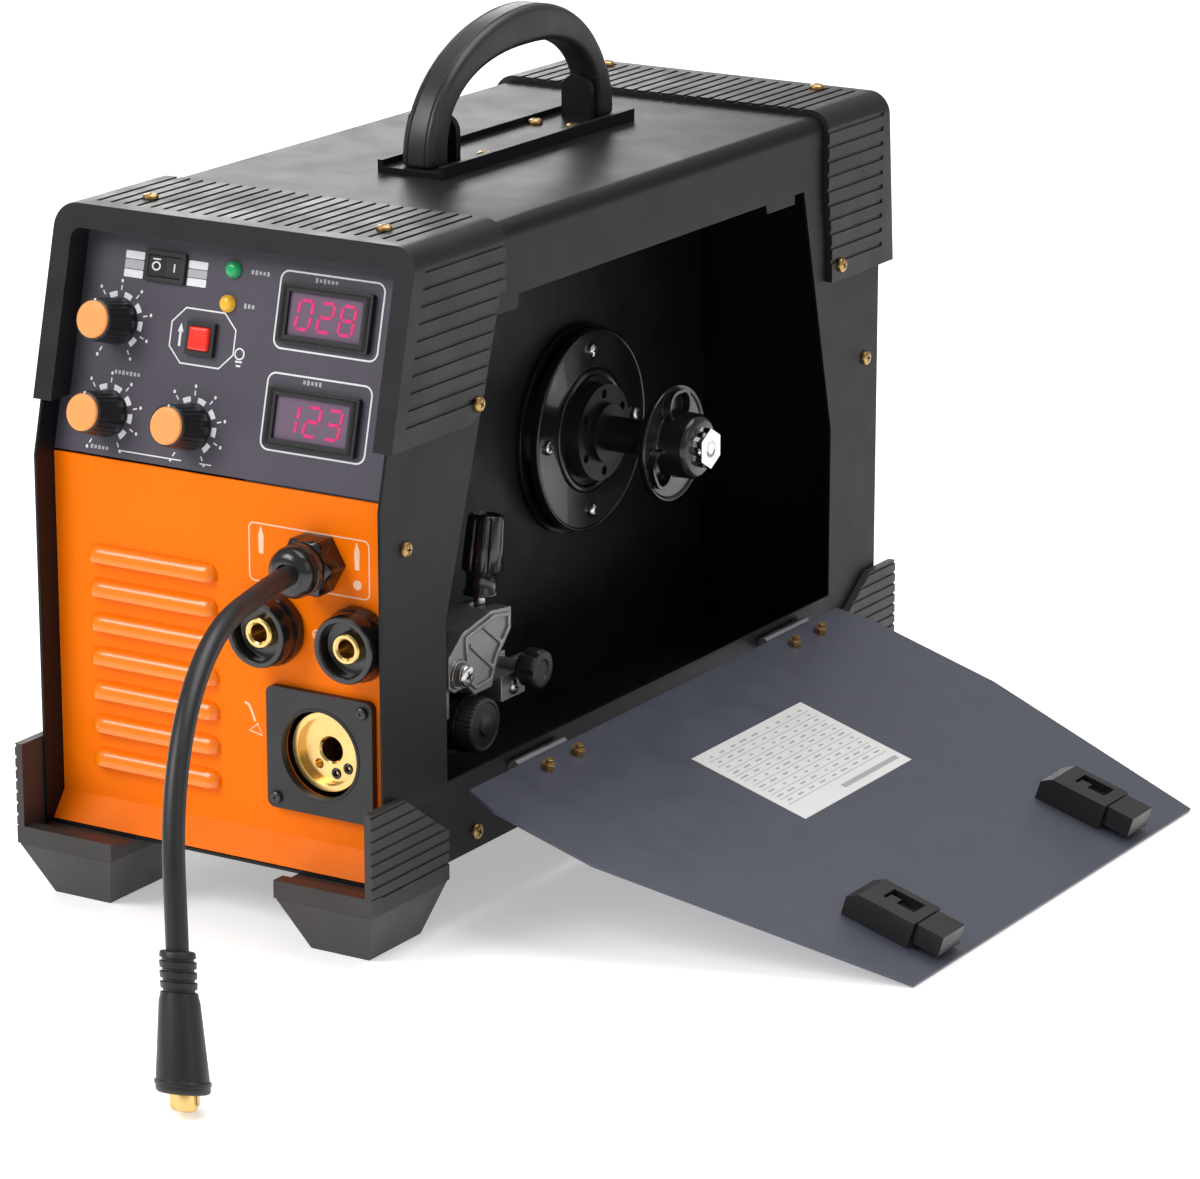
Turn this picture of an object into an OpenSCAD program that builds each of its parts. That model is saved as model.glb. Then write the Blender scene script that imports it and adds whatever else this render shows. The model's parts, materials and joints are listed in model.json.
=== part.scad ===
// Wire-feed welding machine: a folded sheet case with a drop-down side door, a wire spool holder, a
// two-roll wire feeder, torch and current sockets, a leaning control panel and a carrying handle.
// Millimetres. +Z is up, the control panel faces -Y, the door side is +X.
// Shapes are laid out about the middle of the case. The origin of the finished part is on the bench, in
// the middle of the pad of the front foot on the door side.

/* [Case] */
// Width of the sheet case, side to side
case_w = 205; // [200:1:215]
// Depth of the sheet case, front edge to rear edge
case_d = 488; // [484:2:500]
// Top of the case above the bench
case_top = 343.5; // [341:0.5:350]
// Underside of the case above the bench
case_floor = 34; // [33:0.5:35]
// Thickness of the case sheet
sheet = 1.5; // [1.2:0.1:1.6]

/* [Front] */
// Height at which the vertical connector panel ends and the leaning control plate begins
split_z = 225; // [222:1:228]
// Lean of the control plate back from the vertical, degrees
lean = 14; // [12:0.5:15]
// How far the front panels sit behind the front edge of the case
recess = 14; // [13:0.5:14]
// Wall of the plastic surrounds, which stand proud of the case by this much
surround = 3.5; // [3:0.5:4]

/* [Door] */
// Thickness of the door sheet
door_t = 1.6; // [1.4:0.1:1.6]
// How far the door has swung open, degrees from closed
door_open = 106.85; // [90:0.05:106.85]
// Height of the hinge axis above the bench
hinge_z = 69.1; // [69:0.1:69.5]

/* [Wire] */
// Height of the wire path above the bench
wire_z = 94.5; // [94:0.5:95]
// Distance of the wire path from the middle of the case, toward the door
wire_x = 58.5; // [58:0.5:59]
// Diameter of the disc that carries the wire spool
drum_d = 110; // [100:2:114]

/* [Hidden] */
$fn = 48;

datum = [78, -224.5];
eps = 0.05;
half_w = case_w / 2;
half_d = case_d / 2;
inner_x = half_w - sheet;
panel_x = inner_x - 0.3;
panel_y = -half_d + recess;
rear_y = half_d - 7;
corner_r = 8;
out_x = half_w + surround;
out_top = case_top + surround;
bezel_z = split_z + 27;
rear_bezel_z = split_z + 28;

// door, described as if closed, then swung about the hinge axis
hinge_x = half_w + 3.5;
door_in = half_w + 0.5;
door_out = door_in + door_t;
door_z0 = hinge_z + 3.6;
door_z1 = 309.9;
hinge_ys = [-111, 137];
hinge_len = 46;
knuckle_r = 3;
latch_ys = [-101.5, 105.5];
latch_top = door_in - 14;

// openings of the cover
opening_z0 = 75.5;
opening_z1 = 307;

// spool holder
spool_y = 82;
spool_z = 182;
shaft_d = 14;
wall_x = 6;

// feeder
roll_y = -112;
drive_r = 15;
drive_z = wire_z - 0.5 - drive_r;
press_r = 9.5;
press_z = wire_z + 0.5 + press_r;
arm_y = -135;
arm_z = 112;
rod_x = 59;
rod_y = -96.5;
rod_z = 108;
rod_tilt = 9;
run_gap = 0.05;
clamp_at = [-76, 101];

// connector panel
euro_screw = 25.5;
dinse_xs = [30, 81];
dinse_z = 154;
gland_x = 57.5;
gland_z = 191;

// control plate, measured along its own slope
knobs = [[-71.5, 67], [-71, 21.5], [-20.5, 21.5]];
meters = [[50.5, 83.2], [50, 33.1]];
leds = [[-6.5, 100], [-7.5, 83.3]];
rocker_at = [-46.4, 96.5];
button_at = [-20.2, 64.5];

black = "#1d1d20";
charcoal = "#3a3a3e";
orange = "#ff7a00";
alu = "#b9bbbd";
steel = "#c8c8c6";
brass = "#c9a24a";

// ---------- helpers ----------

// moves a shape laid out about the middle of the case to the origin of the finished part
module from_datum() {
  translate([-datum[0], -datum[1], 0]) children();
}

// a drawing in (x, z) drawn out from y0 to y1
module along_y(y0, y1) {
  translate([0, y1, 0]) rotate([90, 0, 0]) linear_extrude(y1 - y0) children();
}

// a drawing in (y, z) drawn out from x0 to x1
module along_x(x0, x1) {
  translate([x0, 0, 0]) rotate([90, 0, 90]) linear_extrude(x1 - x0) children();
}

module rod_along_x(x0, x1, y, z, d) {
  translate([x0, y, z]) rotate([0, 90, 0]) cylinder(h = x1 - x0, d = d);
}

module rod_along_y(y0, y1, x, z, d) {
  translate([x, y1, z]) rotate([90, 0, 0]) cylinder(h = y1 - y0, d = d);
}

module block(x0, x1, y0, y1, z0, z1) {
  translate([x0, y0, z0]) cube([x1 - x0, y1 - y0, z1 - z0]);
}

// a cylinder about the local Z axis from a to b
module peg(a, b, d) {
  translate([0, 0, a]) cylinder(h = b - a, d = d);
}

// local x across, y up the slope, z outward from the leaning control plate
module on_fascia() {
  translate([0, panel_y, split_z]) rotate([90 - lean, 0, 0]) children();
}

// local x across, y up, z outward from the vertical connector panel
module on_panel() {
  translate([0, panel_y, 0]) rotate([90, 0, 0]) children();
}

// local x toward -X, y up, z outward from the rear plate
module on_rear() {
  translate([0, rear_y, 0]) rotate([90, 0, 180]) children();
}

module swing_door() {
  translate([hinge_x, 0, hinge_z]) rotate([0, door_open, 0]) translate([-hinge_x, 0, -hinge_z]) children();
}

module rounded_rect(w, h, r) {
  offset(r) square([w - 2 * r, h - 2 * r], center = true);
}

// upright arch with two rounded top corners, square at the bottom
module arch_section(side, top, r, bottom) {
  intersection() {
    offset(r) translate([r - side, bottom]) square([2 * (side - r), top - r - bottom]);
    translate([-side, bottom]) square([2 * side, top - bottom]);
  }
}

// cross-section of the case, grown outward by grow
module case_section(grow, r, bottom) {
  arch_section(half_w + grow, case_top + grow, r, bottom);
}

function front_edge(z, ahead) = -half_d - ahead + max(0, z - split_z) * tan(lean);

// side-view strip of the leaning front between two distances ahead of the case edge
module front_strip(ahead0, ahead1, z0, z1) {
  polygon([
    [front_edge(z0, ahead1), z0], [front_edge(z0, ahead0), z0],
    [front_edge(z1, ahead0), z1], [front_edge(z1, ahead1), z1]
  ]);
}

// ---------- case ----------

module door_opening() {
  polygon([
    [-188.5, opening_z0], [-188.5, 158], [-141.5, opening_z1 - 7], [-123, opening_z1 - 7],
    [-121.5, opening_z1], [119.5, opening_z1], [121, opening_z1 - 5], [150, opening_z1 - 5],
    [150, opening_z1], [160, opening_z1], [192.5, 170], [192.5, opening_z0]
  ]);
}

side_screws = [[-223, 202], [230, 202], [-163, 43], [163, 43]];
surround_screws = [[-164, 261], [195, 261]];
top_screw_spots = [[-69, -188], [69, -188], [-67, 236], [67, 236]];
handle_screw_spots = [[-12, -12], [-12, 74], [12, -12], [12, 74]];

module cover_shell() {
  color(charcoal) difference() {
    along_y(-half_d, half_d) difference() {
      case_section(0, corner_r, case_floor);
      case_section(-sheet, corner_r - sheet, case_floor - 2);
    }
    along_x(-half_w - 1, half_w + 1)
      polygon([
        [-half_d - 1, split_z], [-half_d, split_z], [front_edge(case_top + 1, 0), case_top + 1],
        [-half_d - 1, case_top + 1]
      ]);
    along_x(half_w - 2 * sheet, half_w + 1) door_opening();
    for (s = concat(side_screws, surround_screws))
      rod_along_x(-half_w - 1, half_w + 1, s[0], s[1], 4.2);
    for (t = concat(top_screw_spots, handle_screw_spots))
      translate([t[0], t[1], case_top - 5]) cylinder(h = 8, d = 4.2);
  }
}

module base_chassis() {
  color(charcoal) difference() {
    union() {
      block(-panel_x, panel_x, -half_d + 4, rear_y + 3, case_floor, case_floor + sheet);
      for (x = [-panel_x, panel_x - sheet])
        block(x, x + sheet, panel_y + 3, rear_y - 3, case_floor, case_floor + 18);
    }
    for (s = [side_screws[2], side_screws[3]])
      rod_along_x(-half_w, half_w, s[0], s[1], 4.2);
    for (y = [-150:60:150]) block(-80, -20, y - 2, y + 2, case_floor - 1, case_floor + 3);
  }
}

module divider_wall() {
  color(black) difference() {
    along_x(wall_x - sheet, wall_x)
      polygon([
        [panel_y + 6, case_floor + sheet + 0.1], [rear_y - 20, case_floor + sheet + 0.1],
        [rear_y - 20, case_top - sheet - 0.3],
        [panel_y + 12 + (case_top - split_z) * tan(lean), case_top - sheet - 0.3], [panel_y + 12, split_z]
      ]);
    rod_along_x(0, 10, roll_y, drive_z, 12.4);
    for (a = [0:90:270])
      rod_along_x(0, 10, spool_y + 44 * sin(a), spool_z + 44 * cos(a), 4.1);
    rod_along_x(0, 10, spool_y, spool_z, shaft_d + 0.4);
  }
}

// pressed louvre openings, as a drawing in (x, z)
module louvre_slots() {
  for (i = [0:6]) translate([-42, 70 + i * 17.6]) rounded_rect(74, 8, 3.9);
}

module front_panel() {
  color(orange) difference() {
    union() {
      along_y(panel_y, panel_y + sheet) difference() {
        translate([-panel_x, case_floor + 14]) square([2 * panel_x, split_z - case_floor - 14.5]);
        louvre_slots();
      }
      // foot of the panel, folded forward over the floor tray
      along_x(-panel_x, panel_x)
        polygon([
          [panel_y, case_floor + 15], [panel_y + sheet, case_floor + 15], [panel_y + sheet, case_floor + 13],
          [panel_y - 8, case_floor + 2], [panel_y - 9.5, case_floor + 2]
        ]);
      for (x = [-panel_x, panel_x - sheet])
        block(x, x + sheet, panel_y, panel_y + 16, case_floor + 24, split_z - 1);
      // hooded louvre blades
      for (i = [0:6]) translate([0, 0, 70 + i * 17.6])
        along_x(-78, -6)
          polygon([[panel_y - 3.4, -2.6], [panel_y + 1, 4.6], [panel_y + 1, 3.2], [panel_y - 2.4, -2.6]]);
    }
    for (s = [side_screws[0]]) rod_along_x(-half_w, half_w, s[0], s[1], 4.2);
    for (x = dinse_xs) rod_along_y(panel_y - 5, panel_y + 5, x, dinse_z, 26);
    rod_along_y(panel_y - 5, panel_y + 5, gland_x, gland_z, 16.4);
    rod_along_y(panel_y - 5, panel_y + 5, wire_x, wire_z, 45);
    for (s = [-1, 1])
      rod_along_y(panel_y - 5, panel_y + 5, wire_x + s * euro_screw, wire_z + s * euro_screw, 4.2);
  }
}

module control_fascia() {
  color("#4a4850") on_fascia() difference() {
    translate([0, 0, -2]) linear_extrude(2) arch_section(panel_x, 119.2, corner_r - 0.5, 0.8);
    for (k = knobs) translate([k[0], k[1], 0]) peg(-5, 5, 6.1);
    for (m = meters) translate([m[0] - 23.5, m[1] - 12.5, -5]) cube([47, 25, 10]);
    for (l = leds) translate([l[0], l[1], 0]) peg(-5, 5, 5.2);
    translate([rocker_at[0] - 10.8, rocker_at[1] - 6.3, -5]) cube([21.6, 12.6, 10]);
    translate([button_at[0] - 7, button_at[1] - 7, -5]) cube([14, 14, 10]);
  }
}

fan_at = [-48, 150];
mains_at = [-60, 285];
cord_at = [-20, 70];
cord_d = 10;
cord_bend = 25;
gas_at = [-78, 70];

module rear_panel() {
  color(charcoal) difference() {
    union() {
      along_y(rear_y - sheet, rear_y) difference() {
        arch_section(panel_x, case_top - sheet - 0.3, corner_r - 0.5, case_floor + sheet + 0.1);
        for (i = [-5:5])
          translate([fan_at[0] + i * 7.6, fan_at[1]])
            rounded_rect(4, 2 * sqrt(42 * 42 - pow(i * 7.6, 2)) - 3, 1.9);
        for (a = [0:3]) translate([50 - 20 * a + 20, 320]) rounded_rect(12, 4, 1.9);
      }
      for (x = [-panel_x, panel_x - sheet])
        block(x, x + sheet, rear_y - 16, rear_y, case_floor + 24, case_top - 30);
    }
    rod_along_x(-half_w, half_w, side_screws[1][0], side_screws[1][1], 4.2);
    translate([mains_at[0], 0, mains_at[1]])
      block(-13.8, 13.8, rear_y - 5, rear_y + 5, -10.8, 10.8);
    rod_along_y(rear_y - 5, rear_y + 5, cord_at[0], cord_at[1], 20.2);
    rod_along_y(rear_y - 5, rear_y + 5, gas_at[0], gas_at[1], 12.2);
  }
}

groove_pitch = 8;

// ribbed skin of a plastic surround in cross-section; the grooves run front to rear
module ribbed_section(bottom) {
  difference() {
    case_section(surround, 12, bottom);
    case_section(0.05, corner_r, bottom - 2);
    for (i = [-11:11]) translate([i * groove_pitch - 1.2, out_top - 1.1]) square([2.4, 2]);
    for (z = [bottom + 10 : groove_pitch : out_top - 12], x = [-out_x - 1, out_x - 0.9])
      translate([x, z]) square([1.9, 2.4]);
  }
}

module plain_section(bottom) {
  difference() {
    case_section(surround, 12, bottom);
    case_section(0.05, corner_r, bottom - 2);
  }
}

// side view of the skin of the front surround: it stays clear of the door
module front_skin_outline() {
  polygon([
    [-half_d - 10, bezel_z], [-172, bezel_z], [-161, bezel_z + 4.5], [-144, 311.9], [-138.6, 311.9],
    [-138.6, out_top + 1], [-half_d - 10, out_top + 1]
  ]);
}

module front_bezel() {
  color("#55555a") difference() {
    union() {
      intersection() {
        along_y(-half_d - 5, -130) plain_section(bezel_z);
        along_x(-out_x - 1, out_x + 1) intersection() {
          front_skin_outline();
          front_strip(-8, 1.5, bezel_z - 10, out_top + 5);
        }
      }
      intersection() {
        along_y(-half_d - 5, -130) ribbed_section(bezel_z);
        along_x(-out_x - 1, out_x + 1) intersection() {
          front_skin_outline();
          front_strip(-150, -7.9, bezel_z - 10, out_top + 5);
        }
      }
      // face of the frame, in front of the case edge
      intersection() {
        along_y(-half_d - 5, -130) difference() {
          case_section(surround, 12, bezel_z);
          arch_section(half_w - 7.5, case_top - 8, 6, bezel_z - 2);
        }
        along_x(-out_x - 1, out_x + 1) front_strip(0.1, 1.5, bezel_z, out_top + 1);
      }
      // walls returning to the control plate
      intersection() {
        along_y(-half_d - 5, -130) difference() {
          arch_section(half_w - 4.5, case_top - 5, 8, bezel_z);
          arch_section(half_w - 7.5, case_top - 8, 6, bezel_z - 2);
        }
        along_x(-out_x - 1, out_x + 1) front_strip(-recess + 0.3, 0.2, bezel_z, out_top + 1);
      }
    }
    for (s = [surround_screws[0]]) rod_along_x(-out_x - 1, out_x + 1, s[0], s[1], 4.2);
    for (t = [0, 1])
      translate([top_screw_spots[t][0], top_screw_spots[t][1], case_top - 5]) cylinder(h = 12, d = 4.2);
  }
}

module rear_bezel() {
  rear_face = half_d + 6;
  color("#55555a") difference() {
    union() {
      intersection() {
        along_y(150, rear_face + 5) ribbed_section(rear_bezel_z);
        along_x(-out_x - 1, out_x + 1)
          polygon([
            [181, out_top + 1], [181, 303], [185.5, 272], [185.5, rear_bezel_z], [half_d - 3, rear_bezel_z],
            [half_d - 3, out_top + 1]
          ]);
      }
      intersection() {
        along_y(150, rear_face + 6) difference() {
          case_section(surround, 12, rear_bezel_z);
          arch_section(half_w - 8, case_top - 9, 6, rear_bezel_z - 2);
        }
        along_x(-out_x - 1, out_x + 1)
          polygon([
            [half_d + 0.1, rear_bezel_z], [rear_face + 4, rear_bezel_z],
            [rear_face - 3, out_top + 1], [half_d + 0.1, out_top + 1]
          ]);
      }
      intersection() {
        along_y(150, rear_face) plain_section(rear_bezel_z);
        block(-out_x - 1, out_x + 1, half_d - 3.1, half_d + 0.2, rear_bezel_z, out_top + 1);
      }
    }
    for (s = [surround_screws[1]]) rod_along_x(-out_x - 1, out_x + 1, s[0], s[1], 4.2);
    for (t = [2, 3])
      translate([top_screw_spots[t][0], top_screw_spots[t][1], case_top - 5]) cylinder(h = 12, d = 4.2);
  }
}

// one corner foot at +X, -Y; the tapered pad stands on the bench
module corner_foot() {
  foot_x0 = 49;
  foot_x1 = half_w + 4.5;
  foot_y0 = -half_d - 17;
  foot_y1 = -194;
  intersection() {
    along_y(foot_y0 - 1, foot_y1 + 1)
      polygon([
        [foot_x0 + 12, 0], [foot_x1 - 12, 0], [foot_x1 - 1, 27], [foot_x1 - 1, 28], [foot_x0 + 1, 28],
        [foot_x0 + 1, 27]
      ]);
    along_x(foot_x0 - 1, foot_x1 + 1)
      polygon([
        [foot_y0 + 14, 0], [foot_y1 - 8, 0], [foot_y1 - 1, 27], [foot_y1 - 1, 28], [foot_y0 + 1, 28],
        [foot_y0 + 1, 27]
      ]);
  }
  block(foot_x0, foot_x1, foot_y0, foot_y1, 27.9, case_floor - 0.05);
  block(foot_x0, foot_x1, foot_y0, -half_d - 9, case_floor - 0.1, case_floor + 3);
  // outer ribbed cheek
  difference() {
    along_x(half_w + 0.1, foot_x1)
      polygon([
        [foot_y0, 28], [foot_y1, 28], [foot_y1, 53], [-233, 80], [foot_y0, 80]
      ]);
    for (z = [36:6:78])
      block(foot_x1 - 0.8, foot_x1 + 1, foot_y0 - 1, foot_y1 + 1, z, z + 1.6);
  }
}

module front_feet() {
  color("#3b3735") {
    corner_foot();
    mirror([1, 0, 0]) corner_foot();
  }
}

module rear_feet() {
  color("#3b3735") mirror([0, 1, 0]) {
    corner_foot();
    mirror([1, 0, 0]) corner_foot();
  }
}

// ---------- handle ----------

handle_mid = 40;
handle_base = case_top + 6.5;

// half-ring outline with a long front quarter and a short rear quarter
function arch(front, rear, rise, p) = [
  for (t = [0:6:180])
    let (c = cos(t), s = sin(t), reach = c < 0 ? front : rear)
      [handle_mid + reach * sign(c) * pow(abs(c), p), handle_base + rise * pow(s, p)]
];

module handle_outline() {
  difference() {
    polygon(arch(97, 79, 66, 1));
    polygon(arch(80.5, 65, 46, 0.85));
  }
}

cap_z = handle_base + 22;

module handle_bracket() {
  color(black) difference() {
    union() {
      block(-20, 20, -62, 122, case_top + 0.05, case_top + 3);
      for (x = [-20, 17]) block(x, x + 3, -62, 122, case_top + 2.9, case_top + 6.4);
      for (y = [-33.7, 95.3])
        along_y(y, y + 4) {
          translate([-9, case_top + 2.9]) square([18, 15]);
          translate([0, case_top + 17.9]) circle(9);
        }
    }
    for (t = handle_screw_spots) translate([t[0], t[1], case_top - 5]) cylinder(h = 12, d = 4.2);
  }
}

module handle_grip() {
  color(black) intersection() {
    along_x(-9, 9) handle_outline();
    block(-12, 12, -80, 140, cap_z, handle_base + 80);
  }
}

module handle_end_caps() {
  color(black) {
    intersection() {
      along_x(-9.5, 9.5) handle_outline();
      block(-12, 12, -80, 140, handle_base, cap_z - 0.1);
    }
    block(-9.5, 9.5, -57, -40.5, case_top + 3.1, handle_base + 0.1);
    block(-9.5, 9.5, 109, 119, case_top + 3.1, handle_base + 0.1);
  }
}

// ---------- fasteners ----------

module screw_up(z, head_d, shank) {
  translate([0, 0, z]) cylinder(h = 2.4, d = head_d);
  translate([0, 0, z - shank]) cylinder(h = shank + 0.1, d = 4);
}

module cover_screws() {
  color(brass)
    for (side = [-1, 1]) {
      for (s = side_screws)
        translate([side * (half_w + 0.05), s[0], s[1]]) rotate([0, side * 90, 0]) screw_up(0, 8, 5);
      for (s = surround_screws)
        translate([side * (out_x + 0.05), s[0], s[1]]) rotate([0, side * 90, 0]) screw_up(0, 8, 8);
    }
}

module top_screws() {
  color(brass) {
    for (t = top_screw_spots) translate([t[0], t[1], out_top + 0.05]) screw_up(0, 8, surround + sheet + 0.2);
    for (t = handle_screw_spots) translate([t[0], t[1], case_top + 3.05]) screw_up(0, 8, 8);
  }
}

// ---------- door ----------

module door_outline() {
  polygon([
    [-181, door_z0], [-187.5, door_z0 + 19], [-187.5, 151], [-142.5, door_z1], [164, door_z1],
    [194, 171], [194, door_z0 + 19], [187.5, door_z0]
  ]);
}

stud_dy = 14;
stud_z = 83;

module side_door() {
  color("#62626c") swing_door() difference() {
    along_x(door_in, door_out) door_outline();
    for (y = hinge_ys, s = [-1, 1])
      rod_along_x(door_in - 1, door_out + 1, y + s * stud_dy, stud_z, 4.2);
  }
}

module hinge_frame_leaves() {
  color("#8a8a8c")
    for (y = hinge_ys) {
      block(half_w + eps, half_w + 1.4, y - hinge_len / 2, y + hinge_len / 2, hinge_z - 22, hinge_z - 3.8);
      for (s = [-1, 1]) {
        end0 = y + (s < 0 ? -hinge_len / 2 : 8);
        rod_along_y(end0, end0 + hinge_len / 2 - 8, hinge_x, hinge_z, 2 * knuckle_r);
        block(half_w + eps, half_w + 1.4, end0, end0 + hinge_len / 2 - 8, hinge_z - 4, hinge_z);
      }
      // pressed-in pin
      rod_along_y(y - hinge_len / 2 + 1, y + hinge_len / 2 - 1, hinge_x, hinge_z, 2.4);
    }
}

module hinge_door_leaves() {
  color("#8a8a8c") swing_door() difference() {
    union()
      for (y = hinge_ys) {
        block(door_out + eps, door_out + 1.4, y - hinge_len / 2, y + hinge_len / 2, door_z0, door_z0 + 19);
        block(door_out + eps, door_out + 1.4, y - 7.9, y + 7.9, hinge_z, door_z0 + 0.1);
        rod_along_y(y - 7.9, y + 7.9, hinge_x, hinge_z, 2 * knuckle_r);
      }
    for (y = hinge_ys) {
      rod_along_y(y - 9, y + 9, hinge_x, hinge_z, 2.4 + 2 * run_gap);
      for (s = [-1, 1])
        rod_along_x(door_in - 1, door_out + 4, y + s * stud_dy, stud_z, 4.2);
    }
  }
}

module door_screws() {
  color(brass) swing_door()
    for (y = hinge_ys, s = [-1, 1]) translate([0, y + s * stud_dy, stud_z]) rotate([0, 90, 0]) {
      peg(door_out + 1.45, door_out + 3.6, 7.6);
      peg(door_in - 5.6, door_out + 1.5, 4);
      translate([0, 0, door_in - 3.05]) cylinder(h = 3, d = 7.4, $fn = 6);
    }
}

latch_z0 = 252;
latch_z1 = 290;
slide_z1 = 305.7;

module latch_housings() {
  color(black) swing_door()
    for (y = latch_ys) difference() {
      along_y(y - 13.5, y + 13.5)
        polygon([
          [door_in - eps, latch_z0], [door_in - eps, latch_z1], [latch_top, latch_z1],
          [latch_top, latch_z0 + 6], [latch_top + 4, latch_z0]
        ]);
      // channel for the slide, and the window its thumb piece moves in
      block(latch_top + 4, latch_top + 9.4, y - 5.2, y + 5.2, latch_z0 + 6, latch_z1 + 1);
      block(latch_top - 1, latch_top + 5, y - 3.2, y + 9, latch_z0 + 14, latch_z0 + 32);
    }
}

module latch_slide(y) {
  color(black) swing_door() {
    block(latch_top + 0.5, door_in - 2.8, y - 11, y + 11, latch_z1 + 0.6, slide_z1);
    block(latch_top + 4.4, latch_top + 9, y - 4.8, y + 4.8, latch_z0 + 8, latch_z1 + 1);
    block(latch_top + 1.2, latch_top + 4.5, y - 2.8, y + 4.8, latch_z0 + 15, latch_z0 + 21);
  }
}

module front_latch_slide() {
  latch_slide(latch_ys[0]);
}

module rear_latch_slide() {
  latch_slide(latch_ys[1]);
}

module door_chart() {
  color("white") swing_door() block(door_in - 0.25, door_in - 0.03, -46, 66, 121, 190.5);
}

// ---------- spool holder ----------

drum_x0 = wall_x + 0.1;
drum_x1 = 18;
spool_screw_r = 44;

module on_spool_axis() {
  translate([0, spool_y, spool_z]) rotate([0, 90, 0]) children();
}

module spool_drum() {
  color(black) difference() {
    on_spool_axis() {
      peg(drum_x0, drum_x0 + 3, drum_d + 4);
      peg(drum_x0 + 2.9, drum_x1 - 4, drum_d - 10);
      peg(drum_x1 - 4.1, drum_x1, drum_d);
    }
    on_spool_axis() peg(drum_x0 - 1, drum_x1 + 1, shaft_d + 0.4);
    for (a = [0:90:270])
      rod_along_x(0, drum_x1 + 1, spool_y + spool_screw_r * sin(a), spool_z + spool_screw_r * cos(a), 4.2);
  }
}

module spool_screws() {
  color(steel)
    for (a = [0:90:270])
      translate([drum_x1 + 0.05, spool_y + spool_screw_r * sin(a), spool_z + spool_screw_r * cos(a)])
        rotate([0, 90, 0]) screw_up(0, 8, 16);
}

module spool_shaft() {
  color(steel) on_spool_axis() {
    peg(wall_x - 12, wall_x - sheet - 0.1, 30);
    peg(wall_x - sheet - 0.2, 88, shaft_d);
    translate([0, 0, 86.2]) cylinder(h = 5.8, d = 22, $fn = 6);
  }
}

module spool_hub() {
  color("#2a2a2d") on_spool_axis() difference() {
    union() {
      peg(drum_x1 + 0.2, 26, 52);
      peg(25.9, 30, 32);
      peg(29.9, 65, 19);
    }
    peg(drum_x1, 66, shaft_d + 2 * run_gap);
    for (a = [0:60:300]) rotate(a) translate([21, 0, 22]) peg(0, 10, 5);
  }
}

module spool_retainer() {
  color(black) on_spool_axis() difference() {
    union() {
      peg(65.3, 70, 63);
      peg(69.9, 86, 36);
      for (a = [0:120:240]) rotate(a) translate([12, -4, 69.9]) cube([15, 8, 13]);
    }
    peg(65, 87, shaft_d + 2 * run_gap);
    difference() {
      peg(68.6, 71, 58);
      peg(68, 72, 37);
      for (a = [0:120:240]) rotate(a) translate([12, -4, 68]) cube([15, 8, 13]);
    }
  }
}

// ---------- wire feeder ----------

motor_shaft_d = 10;

module feeder_motor() {
  color("#55575a") {
    rod_along_x(-78, -16, roll_y, drive_z, 56);
    rod_along_x(-16.1, wall_x - sheet - 0.1, roll_y, drive_z, 64);
    rod_along_x(-84, -77.9, roll_y, drive_z, 20);
    rod_along_x(wall_x - sheet - 0.2, 62, roll_y, drive_z, motor_shaft_d);
  }
}

body_x0 = wall_x + 0.1;
body_x1 = 50;

module feeder_body() {
  color(alu) difference() {
    union() {
      along_x(body_x0, body_x1)
        polygon([
          [-152, 62], [-148, 58], [-76, 58], [-72, 62], [-72, 98], [-80, 104], [-128, 104], [-128, 118],
          [-142, 118], [-152, 110]
        ]);
      // wire outlet toward the torch socket, and inlet toward the spool
      block(body_x1 - 0.1, 66, -152, -131, wire_z - 8, wire_z + 7);
      block(body_x1 - 0.1, 72, -92, -70, wire_z - 9, wire_z + 4.5);
      rod_along_y(-70.1, -50, wire_x, wire_z, 9);
      rod_along_x(body_x1 - 0.1, 77, arm_y, arm_z, 8);
      rod_along_x(76, 79, arm_y, arm_z, 12);
      rod_along_x(body_x1 - 0.1, 73.6, clamp_at[0], clamp_at[1], 6);
      block(body_x1 - 0.1, 60, clamp_at[0] - 6, clamp_at[0] + 6, wire_z + 4, clamp_at[1] + 4.5);
      // fork and pin that the tension rod swings on
      for (x = [rod_x - 7, rod_x + 4])
        along_x(x, x + 3)
          polygon([
            [rod_y - 4, rod_z + 4], [rod_y - 4, wire_z + 4], [rod_y + 8, wire_z + 4], [rod_y + 4, rod_z + 4]
          ]);
      block(body_x1 - 0.1, rod_x + 7, rod_y - 4, rod_y + 8, wire_z + 1, wire_z + 4.1);
      rod_along_x(rod_x - 7.2, rod_x + 7.2, rod_y, rod_z, 4);
    }
    rod_along_x(body_x0 - 1, body_x1 + 1, roll_y, drive_z, motor_shaft_d + 0.4);
    rod_along_y(-153, -40, wire_x, wire_z, 2.4);
  }
}

module drive_roll() {
  color("#3a3a3c") difference() {
    union() {
      rod_along_x(51.8, 57.6, roll_y, drive_z, 2 * drive_r);
      rod_along_x(57.5, 59.5, roll_y, drive_z, 2 * drive_r - 1.6);
      rod_along_x(59.4, 65.8, roll_y, drive_z, 2 * drive_r);
    }
    rod_along_x(51, 62.3, roll_y, drive_z, motor_shaft_d + 2 * run_gap);
    for (a = [0:15:345])
      translate([0, roll_y, drive_z]) rotate([a, 0, 0])
        block(60.2, 66, -0.5, 0.5, drive_r - 0.7, drive_r + 1);
  }
}

module drive_roll_cap() {
  color("#2b2b2e") {
    rod_along_x(65.9, 75, roll_y, drive_z, 28.4);
    rod_along_x(74.9, 76.4, roll_y, drive_z, 10);
  }
}

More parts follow.
